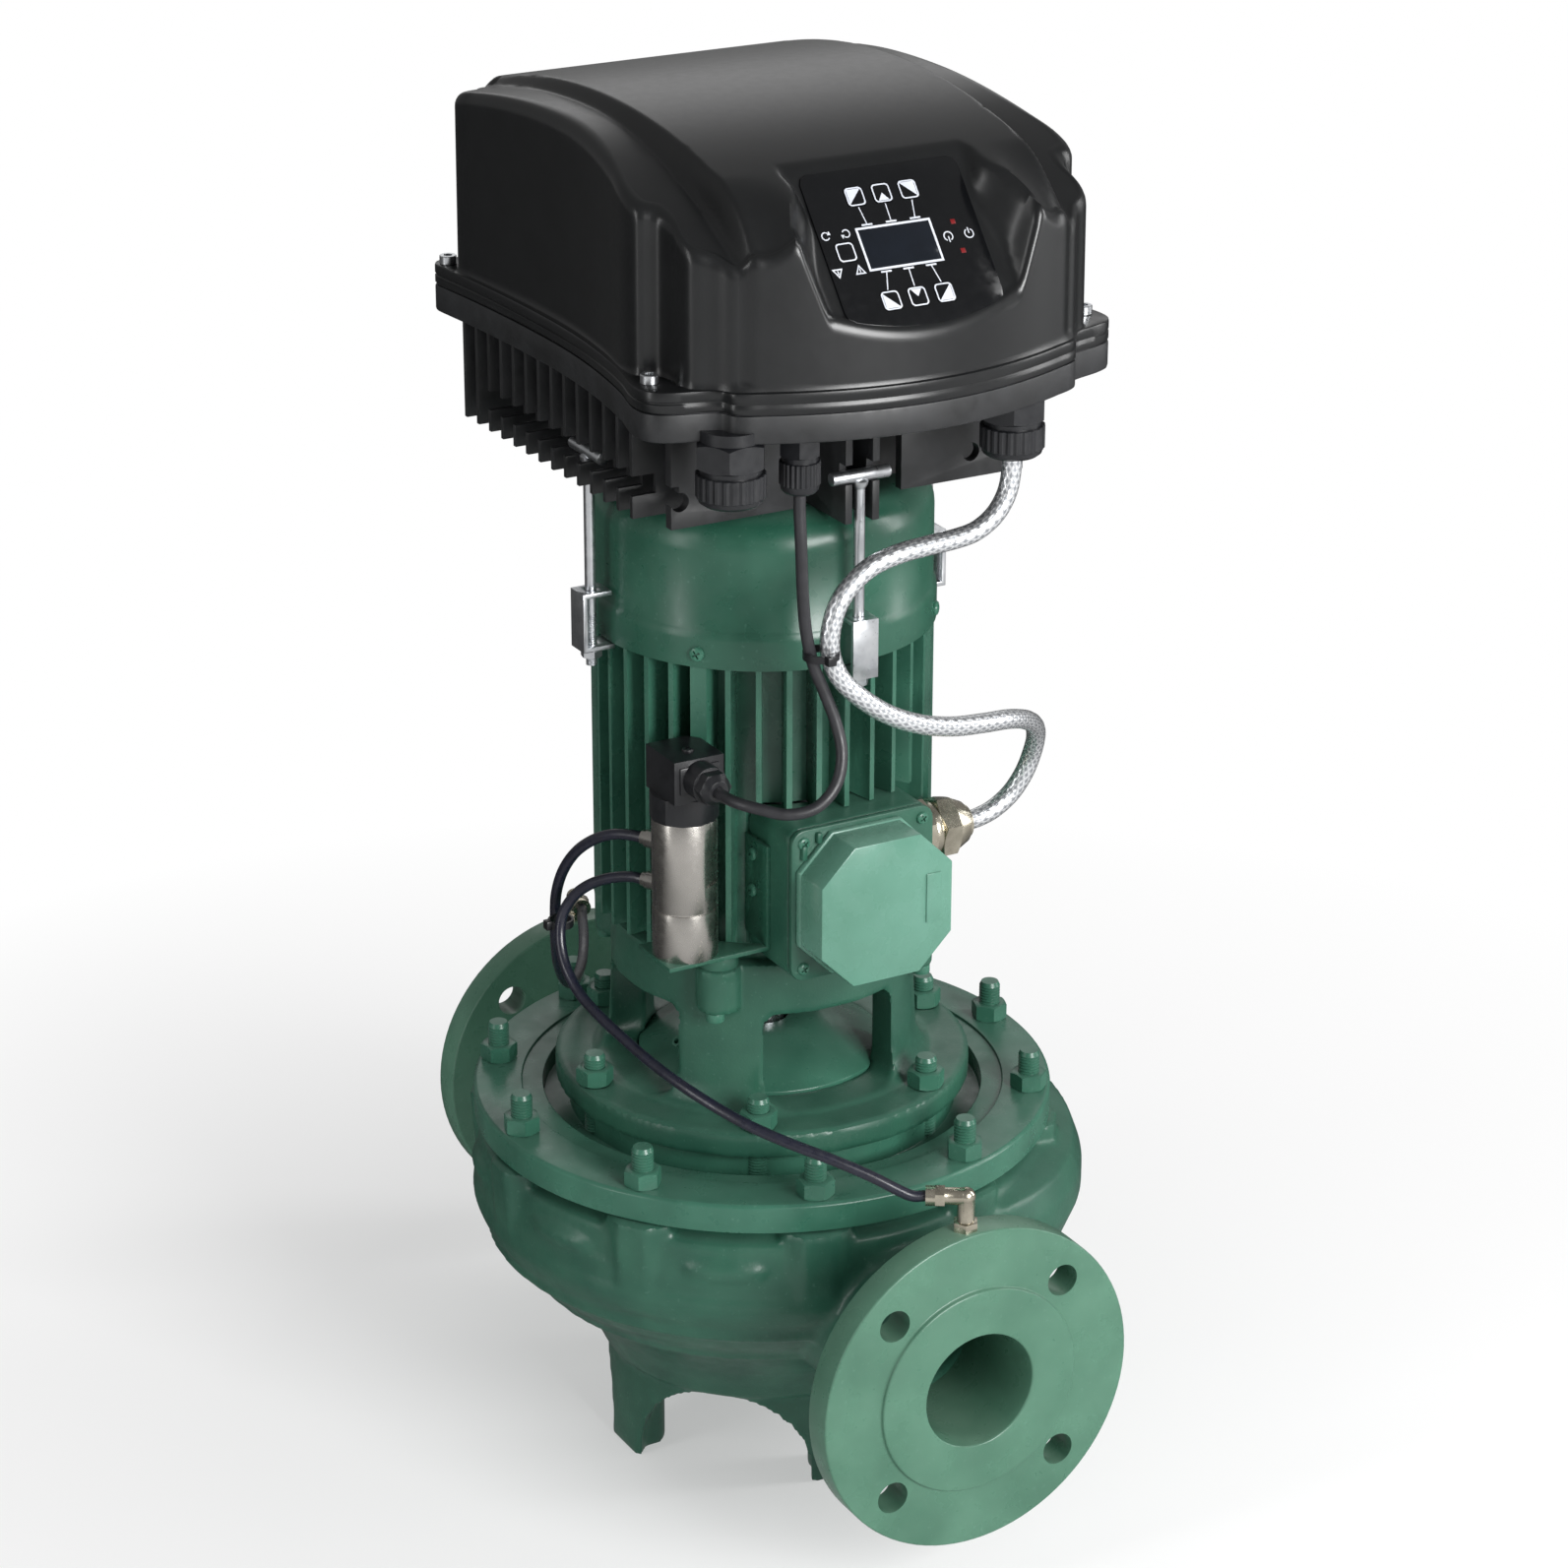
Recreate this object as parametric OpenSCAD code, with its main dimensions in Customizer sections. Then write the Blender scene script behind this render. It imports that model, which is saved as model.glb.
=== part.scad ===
// In-line circulation pump with a frequency inverter on the motor.
// The shaft stands along Z at x = 0, y = 0, and the foot stands on z = 0.
// The inlet flange faces -Y, the outlet flange faces +Y.

/* [Ports and flanges] */
// Distance between the two flange faces
face_to_face = 475; // [450:5:520]
// Height of the port centres above the floor
port_z = 130; // [126:1:134]
// Radius of the ports
port_r = 32.5; // [28:0.5:33]
// Radius of the flanges
flange_r = 92.5; // [90:0.5:98]
// Thickness of the flanges
flange_t = 18; // [16:1:22]
// Radius of the raised sealing face
raised_r = 59; // [50:1:60]
// Height of the raised sealing face
raised_t = 2.5; // [2:0.5:4]
// Pitch circle of the flange bolts
flange_pcd = 145; // [143:1:150]
// Radius of the flange bolt holes
flange_hole_r = 9; // [7:0.5:9.5]
// Radius of the necks behind the flanges
neck_r = 46; // [44:1:50]

/* [Casing] */
// Radius of the bowl at its belly
bowl_r = 166; // [165:1:172]
// Sideways shift of the swollen volute
volute_shift = 8; // [5:1:9]
// Direction of that shift
volute_angle = -34; // [-60:2:-10]
// Height of the casing's top joint face
casing_top = 198.2; // [197:0.5:202]
// Height of the underside of the bowl
floor_z = 57; // [54:1:58]
// Radius of the foot at the floor
foot_r = 91; // [90:1:94]
// Wall of the hollow foot
foot_wall = 13; // [11:1:14]
// Half-width of the arches in the foot
arch_r = 50; // [44:1:52]
// Radius of the tapped holes in the foot
foot_hole_r = 4.25; // [3:0.25:4.5]
// Radius of the casing's opening for the cover
opening_r = 118; // [116:1:119]
// Thickness of the casing gasket
gasket_t = 0.5; // [0.5:0.25:1]

/* [Impeller] */
// Radius of the impeller
impeller_r = 95; // [85:1:97]
// Height of the impeller's lower face
impeller_z = 150; // [150:0.5:151]
// Width of the vane passage
vane_w = 13; // [10:1:14]
// Number of vanes
vanes = 6; // [5:1:7]
// Radius of the impeller eye
eye_r = 32; // [28:1:32]
// Running clearance in the wear ring
wear_gap = 0.3; // [0.2:0.05:0.5]

/* [Cover and lantern] */
// Radius of the casing cover
cover_r = 162; // [161:1:166]
// Thickness of the cover's rim
cover_t = 16.3; // [14:0.5:18]
// Pitch radius of the casing studs
casing_stud_pitch = 150; // [149:0.5:152]
// Radius of the lantern's lower flange
lantern_r = 115.8; // [114:0.5:118]
// Thickness of the lantern's lower flange
lantern_t = 14.4; // [12:0.5:16]
// Height of the lantern
lantern_h = 100.1; // [96:1:110]
// Pitch radius of the lantern studs
lantern_stud_pitch = 105; // [104:0.5:106]
// Radius of the studs
stud_r = 6; // [5:0.5:6]
// Nut size across the flats
nut_flats = 18; // [17:0.5:18]

/* [Motor] */
// Radius of the shaft at the seal and the drive-end bearing
shaft_r = 12.5; // [12:0.5:13]
// Outer radius of the motor barrel
barrel_r = 76; // [75:0.5:78]
// Wall of the motor barrel
barrel_wall = 6; // [5:0.5:7]
// Radius over the cooling fins
fin_r = 92.6; // [90:0.2:92.6]
// Thickness of a fin
fin_t = 3; // [2:0.2:4]
// Number of fins
fins = 36; // [36:4:40]
// Length of the motor between lantern and cowl
motor_h = 171.5; // [168:0.5:180]
// Radius of the rotor core
rotor_r = 36.5; // [34:0.5:38]
// Air gap between rotor and stator
air_gap = 0.5; // [0.4:0.1:1]
// Height of the fan cowl
cowl_h = 82; // [80:1:84]
// Radius of the cowl's skirt
cowl_r = 94; // [93.4:0.2:95]
// Sheet thickness of the cowl
cowl_wall = 2; // [1.5:0.25:2.5]

/* [Terminal box and sensor] */
// Width and height of the terminal box
box_w = 86; // [84:1:88]
// Distance of the box's front from the shaft
box_front = 110; // [108:1:112]
// Depth of the octagonal cover
octagon_d = 26; // [22:1:28]
// Radius of the sensor body
sensor_r = 17.5; // [15:0.5:17.5]
// Height of the sensor body
sensor_h = 78.4; // [74:1:82]
// Thickness of the sensor bracket
bracket_t = 2.3; // [2:0.1:3]

/* [Inverter] */
// Height of the heat sink under the tray
sink_h = 60; // [58:1:64]
// Gap between the cowl and the outer fins
sink_gap = 9; // [8:0.5:12]
// Height of the tray above the heat sink
tray_h = 14.5; // [14:0.5:17]
// Height of the cover's lip
lip_h = 11; // [10:0.5:12]
// Height of the cover's roof above the lip
roof_h = 114; // [110:1:117]
// Half-width of the inverter at its waist
waist = 120; // [118:1:124]
// Wall of the cover
cover_wall = 3.5; // [3:0.25:4]
// Width of the display overlay
display_w = 90; // [86:1:92]
// Length of the display overlay down the slope
display_l = 87; // [85:1:88]
// Tilt of the display from level
display_tilt = 50; // [49:0.5:51]
// Width of a key
key_w = 10.5; // [9:0.5:11]
// Travel of a key
key_travel = 0.5; // [0.3:0.1:0.6]

/* [Tie rods] */
// Distance of the tie rods from the shaft
rod_pitch = 103; // [102.5:0.5:104]
// Radius of a tie rod
rod_r = 3; // [2.5:0.25:3]
// Radius of the T-bar on a tie rod
bar_r = 3.5; // [3:0.25:3.5]
// Length of a T-bar
bar_l = 34; // [32:1:36]
// Height of a U clamp
clamp_h = 30; // [28:1:32]

/* [Hidden] */
$fn = 64;
// Clearances
fit = 0.03;
slip = 0.3;
// Colours
paint = "#3f7359";
plastic = "#1c1d1f";
zinc = "#c9ccd0";
nickel = "#b9b4a2";
steel = "#aeb1b3";
rubber = "#17191c";
// Heights, from the floor up
cover_z = casing_top + gasket_t;
cover_top = cover_z + cover_t;
seat_z = cover_top + 4.4;
lantern_flange_top = seat_z + lantern_t;
lantern_top = seat_z + lantern_h;
barrel_z = lantern_top + 6.5;
motor_top = lantern_top + motor_h;
cowl_top = motor_top + cowl_h;
sink_z = cowl_top + sink_gap;
tray_z = sink_z + sink_h;
lip_z = tray_z + tray_h + 0.5;
wall_z = lip_z + lip_h;
roof_z = wall_z + roof_h;
// Casing and its passages
half_face = face_to_face / 2;
rim_r = cover_r - 9;
belly_z = 165;
passage_z = impeller_z - 2;
channel_z = passage_z + 1;
channel_top = casing_top - 12.2;
channel_r = 146;
wear_r = 40;
plug_r = opening_r - 0.1;
plug_z = casing_top - 18.2;
casing_studs = 10;
lantern_studs = 6;
boss_r = stud_r + 7.5;
stud_depth = 20;
nut_h = 9.5;
nut_r = nut_flats / 2 / cos(30);
tap_r = 4.5;
tap_x = -4;
tap_y = half_face - flange_t / 2 - 2.5;
tap_z = port_z + flange_r - 1.5;
// Cover dome and seal chamber
chamber_r = 24;
chamber_top = seat_z + 24.6;
dome_r = 69;
dome_z = seat_z + 16.6;
dome_top = seat_z + 32.6;
vent_angle = 195;
vent_pitch = 56;
vent_z = dome_z + 6;
// Shaft ends and bearings
impeller_seat_r = 11;
thread_r = 8;
shoulder_z = impeller_z + 26;
fan_seat_r = 9;
fan_bearing_r = 10;
drive_bearing_z = lantern_top - 23.5;
fan_bearing_z = motor_top - 5;
core_z = lantern_top + 30.5;
core_h = 100;
core_r = barrel_r - barrel_wall - 0.05;
// Lantern openings
window_w = 80;
window_h = 54;
lantern_in = barrel_r - 10;
lug_r = 12;
lug_pitch = barrel_r + 9;
lug_screw_pitch = lug_pitch + 6;
lug_screw_r = 3;
// Terminal box
box_z = lantern_top + 47.5;
box_back = 46;
gland_z = box_z + 17;
gland_y = -86;
box_screw = 36;
// Sensor place
sensor_x = -85.5;
sensor_y = -70.5;
lip_top = box_z - 30.5;
collar_z = lip_top + sensor_h;
socket_z = collar_z + 13.6;
socket_top = socket_z + 24;
socket_gland_z = socket_z + 13;
port_low = lip_top + 36;
port_high = lip_top + 60;
port_turn = 120;
port_reach = 26;
// Inverter places
display_mid = [0, -143.5, tray_z + 86];
screen_w = 41;
screen_l = 22;
screen_x = -2.5;
key_gap = 15.2;
key_row = 28.4;
key_side = -33;
panel_t = 2;
key_t = 1.4;
gland_row = -140;
power_x = 68;
signal_x = -56;
spare_x = -95;
power_cable_r = 5.25;
signal_cable_r = 3.15;
hose_r = 3;
screw_front = [126, -114];
screw_back = [120, 130];
// Inverter cover screws, left and right
cover_screw_places = [
    for (side = [-1, 1], p = [screw_front, screw_back]) [side * p[0], p[1]]
];
cowl_screw_angles = [40, 140, 220, 320];
lug_angles = [45, 135, 225, 315];
rod_angles = [0, 90, 180, 270];

// Cord routes, chosen by hand, from one end to the other
front_hose_route = [
    [-98.5, -48, 372], [-102, -42, 372], [-108, -32, 369], [-115, -21, 363],
    [-121, -12, 354], [-126, -7, 342], [-129, -9, 329], [-130, -17, 316],
    [-129, -30, 306], [-127, -47, 300], [-124, -69, 295], [-120, -93, 290],
    [-114, -116, 285], [-105, -137, 279], [-94, -156, 273], [-80, -173, 267],
    [-63, -188, 260], [-47, -200, 252], [-34, -209, 244], [-28, -212.5, 241],
    [-22, -215, 241]
];
rear_hose_route = [
    [-98.5, -48, 396], [-102, -42, 396], [-108, -32, 394], [-114, -21, 388],
    [-119, -10, 378], [-122, 0, 364], [-123, 7, 348], [-121, 13, 330],
    [-117, 21, 312], [-110, 33, 293], [-99, 49, 275], [-84, 70, 260],
    [-68, 94, 252], [-53, 118, 249], [-40, 142, 249], [-29, 165, 247],
    [-20, 184, 242], [-13, 198, 237], [-8, 208, 236]
];
signal_cable_route = [
    [-56, -140, 608], [-56, -140, 598], [-55, -140, 577], [-53, -138, 555],
    [-50, -136, 533], [-45, -135, 513], [-39, -136, 497], [-34, -139, 481],
    [-33, -144, 465], [-39, -149, 451], [-51, -150, 441], [-65, -145, 438],
    [-77, -135, 440], [-84, -124, 441], [-85.5, -114, 441], [-85.5, -109, 441]
];
power_cable_route = [
    [68, -140, 608], [68, -140, 600], [65.5, -140, 588], [58.5, -140, 577.5],
    [48, -139.5, 570.5], [36, -139, 568], [19, -139, 567], [2, -139, 565.5],
    [-13, -138, 561], [-24, -137, 553], [-32, -137, 543], [-36, -137, 530],
    [-36, -137, 517], [-31, -138, 504], [-20, -140, 492], [-4, -141, 480],
    [15, -141, 471], [36, -139, 465], [58, -134, 461], [78, -127, 457],
    [95, -117, 450], [107, -107, 441], [114, -98, 430], [116, -91, 417],
    [113, -88, 405], [106, -86, 394], [95, -86, 387], [84, -86, 384],
    [78, -86, 384]
];
// Middle and radius of the cable ties
tie_places = [[-41, -136, 518, 9.5], [-125, -2, 335, 7]];

// Shared shapes
module tube(outer, inner, z0, z1) {
    translate([0, 0, z0]) difference() {
        cylinder(h = z1 - z0, r = outer);
        translate([0, 0, -1]) cylinder(h = z1 - z0 + 2, r = inner);
    }
}
module disc(r, z0, z1) {
    translate([0, 0, z0]) cylinder(h = z1 - z0, r = r);
}
module around(angles, pitch) {
    for (a = angles) rotate(a) translate([pitch, 0, 0]) children();
}
module rounded(w, h, r) {
    square([w - 2 * r, h], center = true);
    square([w, h - 2 * r], center = true);
    for (x = [-1, 1], y = [-1, 1])
        translate([x * (w / 2 - r), y * (h / 2 - r)]) circle(r);
}
module hex(r, h) {
    cylinder(h = h, r = r, $fn = 6);
}
// Lays a shape's Z axis along the Y axis, towards the inlet or the outlet
module towards_inlet() {
    rotate([90, 0, 0]) children();
}
module towards_outlet() {
    rotate([-90, 0, 0]) children();
}
function even(count) = [for (i = [0 : count - 1]) i * 360 / count];
function direction(v) = v / norm(v);

// Volute casing
// Outline of the bowl below its belly, as shares of its width and height
bowl_side = [
    [0.41, 0], [0.45, 0.1], [0.5, 0.2], [0.57, 0.3], [0.65, 0.39], [0.74, 0.48],
    [0.83, 0.58], [0.9, 0.68], [0.96, 0.8], [1, 0.97]
];
module bowl(r) {
    rotate_extrude() polygon(concat(
        [[0, floor_z]],
        [for (p = bowl_side) [40 + (r - 40) * p[0], floor_z + (belly_z - floor_z) * p[1]]],
        [[r - 3, belly_z + 12.4], [rim_r, casing_top - 8], [rim_r, casing_top], [0, casing_top]]
    ));
}
module swell() {
    swell_r = bowl_r + 2;
    rotate_extrude() polygon([
        [0, 110], [124, 110], [swell_r - 11, 132], [swell_r, 154], [swell_r, 168],
        [swell_r - 5, 182], [rim_r - 16, 188], [0, 188]
    ]);
}
module port_side() {
    translate([0, 0, 80]) cylinder(h = half_face - flange_t - 79, r = neck_r);
    translate([0, 0, half_face - flange_t - raised_t]) cylinder(h = flange_t, r = flange_r);
    translate([0, 0, half_face - raised_t - 1]) cylinder(h = raised_t + 1, r = raised_r);
}
module flange_cuts() {
    translate([0, 0, half_face - 65]) cylinder(h = 66, r = port_r);
    for (a = lug_angles) rotate(a)
        translate([flange_pcd / 2, 0, half_face - flange_t - raised_t - 1])
            cylinder(h = flange_t + raised_t + 2, r = flange_hole_r);
}
module inlet_chamber() {
    intersection() {
        rotate_extrude() polygon([
            [0, floor_z + 9], [78, floor_z + 12], [93, floor_z + 28], [111, floor_z + 44],
            [129, floor_z + 61], [137, passage_z - 16], [137, passage_z - 8], [0, passage_z - 8]
        ]);
        translate([-200, -200, 0]) cube([400, 225, 300]);
    }
    translate([0, -half_face + 69.5, port_z - 8]) sphere(24);
    translate([0, -half_face + 69.5, port_z - 8]) rotate([-98, 0, 0]) cylinder(h = 52, r = 20);
}
module outlet_duct() {
    translate([0, half_face - 70, port_z + 4]) sphere(25);
    translate([0, half_face - 70, port_z + 4]) rotate([51, 0, 0]) cylinder(h = 52, r = 19);
}
module volute_channel() {
    rotate(volute_angle) translate([volute_shift, 0, 0]) rotate_extrude() polygon([
        [80, channel_z], [80, channel_top], [channel_r - 22, channel_top],
        [channel_r, channel_top - 21], [channel_r, channel_z + 5], [channel_r - 5, channel_z]
    ]);
    disc(opening_r, plug_z, casing_top + 1);
    disc(impeller_r + 5, passage_z, plug_z + 1);
    disc(wear_r, passage_z - 9, passage_z + 1);
}
module volute_casing() {
    color(paint) difference() {
        union() {
            bowl(bowl_r);
            rotate(volute_angle) translate([volute_shift + 8, 0, 0]) swell();
            difference() {
                cylinder(h = floor_z + 8, r1 = foot_r, r2 = foot_r - 3);
                translate([0, 0, -1]) cylinder(h = floor_z + 1, r = foot_r - foot_wall);
                for (a = lug_angles) rotate(a) translate([60, 0, floor_z - arch_r - 1])
                    rotate([0, 90, 0]) cylinder(h = 50, r = arch_r);
            }
            towards_inlet() translate([0, port_z, 0]) port_side();
            towards_outlet() translate([0, -port_z, 0]) port_side();
            around(even(casing_studs), casing_stud_pitch)
                disc(boss_r, casing_top - 34, casing_top - 0.6);
        }
        towards_inlet() translate([0, port_z, 0]) flange_cuts();
        towards_outlet() translate([0, -port_z, 0]) flange_cuts();
        inlet_chamber();
        outlet_duct();
        volute_channel();
        around(even(casing_studs), casing_stud_pitch)
            disc(stud_r + fit, casing_top - stud_depth, casing_top + 1);
        for (y = [-tap_y, tap_y]) {
            translate([tap_x, y, tap_z]) cylinder(h = 20, r = tap_r + 3.5);
            translate([tap_x, y, tap_z - 11]) cylinder(h = 12, r = tap_r + fit);
            translate([tap_x, y, port_z + 10]) cylinder(h = tap_z - port_z - 20, r = 2);
        }
        around(rod_angles, foot_r - foot_wall / 2 - 1)
            disc(foot_hole_r, -1, 20);
    }
}

// Wear ring, pressed into the casing under the impeller
module wear_ring() {
    color("peru") tube(wear_r - fit, eye_r + 4 + wear_gap, passage_z - 8.5, passage_z);
}

// Closed impeller with curved vanes
module vane() {
    steps = 8;
    sweep_a = 70;
    turn = [for (i = [0 : steps]) i / steps];
    root = eye_r + 4;
    tip = impeller_r - 0.5;
    function at(k, side) = let (r = root + (tip - root) * k, a = -sweep_a * k)
        r * [cos(a), sin(a)] + side * [cos(a + 40), sin(a + 40)];
    polygon(concat([for (k = turn) at(k, 2)], [for (i = [steps : -1 : 0]) at(turn[i], -2)]));
}
module impeller() {
    shroud_t = 3;
    back_z = impeller_z + shroud_t + vane_w;
    color("goldenrod") difference() {
        union() {
            tube(impeller_r, eye_r, impeller_z, impeller_z + shroud_t);
            tube(eye_r + 4, eye_r, passage_z - 8, impeller_z + 1);
            disc(impeller_r, back_z, back_z + 4);
            for (a = even(vanes)) rotate(a) translate([0, 0, impeller_z + shroud_t - 0.5])
                linear_extrude(vane_w + 1) vane();
            disc(19, impeller_z + 2, shoulder_z);
        }
        disc(impeller_seat_r + fit, impeller_z, shoulder_z + 1);
    }
}
module impeller_nut() {
    color(zinc) difference() {
        translate([0, 0, impeller_z - 9]) hex(14.5, 11);
        disc(thread_r + fit, impeller_z - 10, impeller_z + 3);
    }
}

// Gasket between casing and cover
module casing_gasket() {
    color("dimgray") tube(opening_r + 22, opening_r, casing_top, cover_z);
}

// Casing cover: plug, seal chamber and dome in one casting
module casing_cover() {
    land_r = lantern_r - 1.8;
    color(paint) difference() {
        rotate_extrude() polygon([
            [shaft_r + 2, dome_top], [34, dome_top], [dome_r, dome_z], [dome_r, seat_z],
            [land_r, seat_z], [land_r, cover_top - 8], [land_r + 5, cover_top - 8],
            [land_r + 5, cover_top - 3], [135, cover_top - 3], [135, cover_top],
            [cover_r - 2, cover_top], [cover_r, cover_top - 2], [cover_r, cover_z],
            [plug_r, cover_z], [plug_r, plug_z], [chamber_r, plug_z],
            [chamber_r, chamber_top], [shaft_r + 2, chamber_top]
        ]);
        around(even(casing_studs), casing_stud_pitch) disc(stud_r + 0.5, cover_z - 1, cover_top + 1);
        around(even(lantern_studs), lantern_stud_pitch) disc(stud_r + fit, seat_z - 15, seat_z + 1);
        rotate(vent_angle) translate([vent_pitch, 0, 0]) {
            disc(4 + fit, dome_z - 6, dome_top);
            disc(8, vent_z, dome_top);
        }
    }
}

// Studs and nuts: ten hold the cover, six hold the lantern
module flange_studs() {
    color(paint) {
        around(even(casing_studs), casing_stud_pitch)
            disc(stud_r, casing_top - stud_depth + 1, cover_top + nut_h + 13);
        around(even(lantern_studs), lantern_stud_pitch)
            disc(stud_r, seat_z - 14, lantern_flange_top + nut_h + 8);
    }
}
module stud_nut(z) {
    translate([0, 0, z]) difference() {
        hex(nut_r, nut_h);
        disc(stud_r + fit, -1, nut_h + 1);
    }
}
module flange_nuts() {
    color(paint) {
        around(even(casing_studs), casing_stud_pitch) stud_nut(cover_top);
        around(even(lantern_studs), lantern_stud_pitch) stud_nut(lantern_flange_top);
    }
}

// Mechanical seal: the head turns with the shaft, the seat is fixed in the chamber
module seal_head() {
    color("silver") rotate_extrude() polygon([
        [shaft_r + fit, plug_z + 14], [20, plug_z + 14], [20, plug_z + 20], [17, plug_z + 22],
        [17, chamber_top - 22], [20, chamber_top - 20], [20, chamber_top - 10],
        [17, chamber_top - 8 - slip], [shaft_r + fit, chamber_top - 8 - slip]
    ]);
}
module seal_seat() {
    color("ivory") tube(chamber_r - fit, shaft_r + 1, chamber_top - 8, chamber_top);
}

// Lantern: flange, four legs, ring with bolt lugs
module lantern() {
    color(paint) difference() {
        union() {
            disc(lantern_r, seat_z, lantern_flange_top);
            difference() {
                rotate_extrude() polygon([
                    [lantern_in, lantern_flange_top - 1], [barrel_r + 19, lantern_flange_top - 1],
                    [barrel_r + 14, lantern_flange_top + 3], [barrel_r + 10, lantern_flange_top + 12],
                    [barrel_r + 8, lantern_top - 34], [barrel_r + 8, lantern_top],
                    [lantern_in, lantern_top]
                ]);
                for (a = [0, 90]) rotate([90, 0, a])
                    translate([0, lantern_flange_top + 1.2 + window_h / 2, -120])
                        linear_extrude(240) rounded(window_w, window_h, 10);
            }
            around(lug_angles, lug_pitch) disc(lug_r, lantern_top - 26, lantern_top);
        }
        disc(dome_r + fit, seat_z - 1, dome_z + 1.6);
        disc(lantern_in + fit, lantern_flange_top - 2, lantern_top + 1);
        around(even(lantern_studs), lantern_stud_pitch)
            disc(stud_r + 0.5, seat_z - 1, lantern_flange_top + 1);
        around(lug_angles, lug_screw_pitch)
            disc(lug_screw_r + slip, lantern_top - 27, lantern_top + 1);
    }
}
// Screws that hold the motor's drive-end shield on the lantern, from below
module lantern_screws() {
    color(zinc) around(lug_angles, lug_screw_pitch) {
        disc(lug_screw_r + 2, lantern_top - 31, lantern_top - 26);
        disc(lug_screw_r, lantern_top - 27, barrel_z - 1);
    }
}

// Vent fitting on the seal dome: hexagon and a slanted nipple
module vent_fitting() {
    color(paint) rotate(vent_angle) translate([vent_pitch, 0, vent_z]) difference() {
        union() {
            disc(4, dome_z - vent_z - 5, 3);
            hex(6.5, 6);
            translate([0, 0, 6]) rotate([0, 50, 0]) cylinder(h = 12, r = 3);
            translate([0, 0, 6]) sphere(4);
        }
        translate([0, 0, 6]) rotate([0, 50, 0]) translate([0, 0, 4]) cylinder(h = 10, r = 1.6);
    }
}

// Shaft and bearings
module motor_shaft() {
    color(steel) {
        disc(thread_r, impeller_z - 12, impeller_z + 2);
        disc(impeller_seat_r, impeller_z + 2, shoulder_z);
        disc(shaft_r, shoulder_z, drive_bearing_z + 17);
        disc(17, drive_bearing_z + 17, fan_bearing_z);
        disc(fan_bearing_r, fan_bearing_z, fan_bearing_z + 15);
        disc(fan_seat_r, fan_bearing_z + 15, motor_top + 44);
    }
}
module bearing_outer_races() {
    color(steel) {
        tube(31, 26.5, drive_bearing_z, drive_bearing_z + 17);
        tube(26, 22, fan_bearing_z, fan_bearing_z + 15);
    }
}
module bearing_inner_races() {
    color(steel) {
        tube(17.5, shaft_r + fit / 2, drive_bearing_z, drive_bearing_z + 17);
        tube(14.8, fan_bearing_r + fit / 2, fan_bearing_z, fan_bearing_z + 15);
    }
}
module bearing_balls() {
    color("white") {
        around(even(9), 22) translate([0, 0, drive_bearing_z + 8.5]) sphere(4.4);
        around(even(9), 18.4) translate([0, 0, fan_bearing_z + 7.5]) sphere(3.5);
    }
}

// Drive-end shield: bearing seat and spigot between lantern and barrel
module drive_end_shield() {
    color(paint) difference() {
        union() {
            rotate_extrude() polygon([
                [shaft_r + 1, drive_bearing_z - 34], [22, drive_bearing_z - 34],
                [26, drive_bearing_z - 28], [38, drive_bearing_z - 6],
                [38, lantern_top - 8], [lantern_in, lantern_top - 8], [lantern_in, lantern_top],
                [barrel_r, lantern_top], [barrel_r, barrel_z], [31 + fit, barrel_z],
                [31 + fit, drive_bearing_z], [shaft_r + 1, drive_bearing_z]
            ]);
            around(lug_angles, lug_pitch) disc(lug_r - 1, lantern_top, barrel_z);
        }
        around(lug_angles, lug_screw_pitch)
            disc(lug_screw_r + fit, lantern_top - 1, barrel_z + 1);
    }
}

// Finned motor housing with four wide ribs, the earth lug and a seat for the box
module motor_housing() {
    color(paint) difference() {
        union() {
            tube(barrel_r, barrel_r - barrel_wall, barrel_z, motor_top - 7);
            for (a = even(fins)) rotate(a) translate([barrel_r - 1, -fin_t / 2, barrel_z])
                cube([fin_r - barrel_r + 1, fin_t, motor_top - barrel_z]);
            for (a = cowl_screw_angles) rotate(a) translate([barrel_r - 1, -4.5, barrel_z])
                cube([fin_r - barrel_r + 1, 9, motor_top - barrel_z]);
            translate([74, -42, box_z + 20]) cube([8, 4, 16]);
        }
        disc(barrel_r - barrel_wall, barrel_z - 1, motor_top);
        disc(barrel_r + fit, motor_top - 7, motor_top + 1);
        translate([box_w / 2, gland_y, gland_z]) rotate([0, 90, 0]) cylinder(h = 38, r = 19.5);
        translate([-box_w / 2 - 5, -box_front, box_z - box_w / 2 - 0.5])
            cube([box_w + 10, box_front - 62, box_w + 1]);
        translate([78, -45, box_z + 28]) towards_outlet() cylinder(h = 10, r = 2.5);
    }
}
module stator_core() {
    color("slategray") tube(core_r, rotor_r + air_gap, core_z, core_z + core_h);
}
module stator_windings() {
    color("chocolate") {
        tube(core_r - 6, rotor_r + 5.5, core_z - 16, core_z);
        tube(core_r - 6, rotor_r + 5.5, core_z + core_h, core_z + core_h + 17);
    }
}
module rotor_core() {
    color("gray") {
        tube(rotor_r, 17 + fit, core_z, core_z + core_h);
        tube(30, 17 + fit, core_z - 9, core_z);
        tube(30, 17 + fit, core_z + core_h, core_z + core_h + 9);
    }
}

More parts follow.
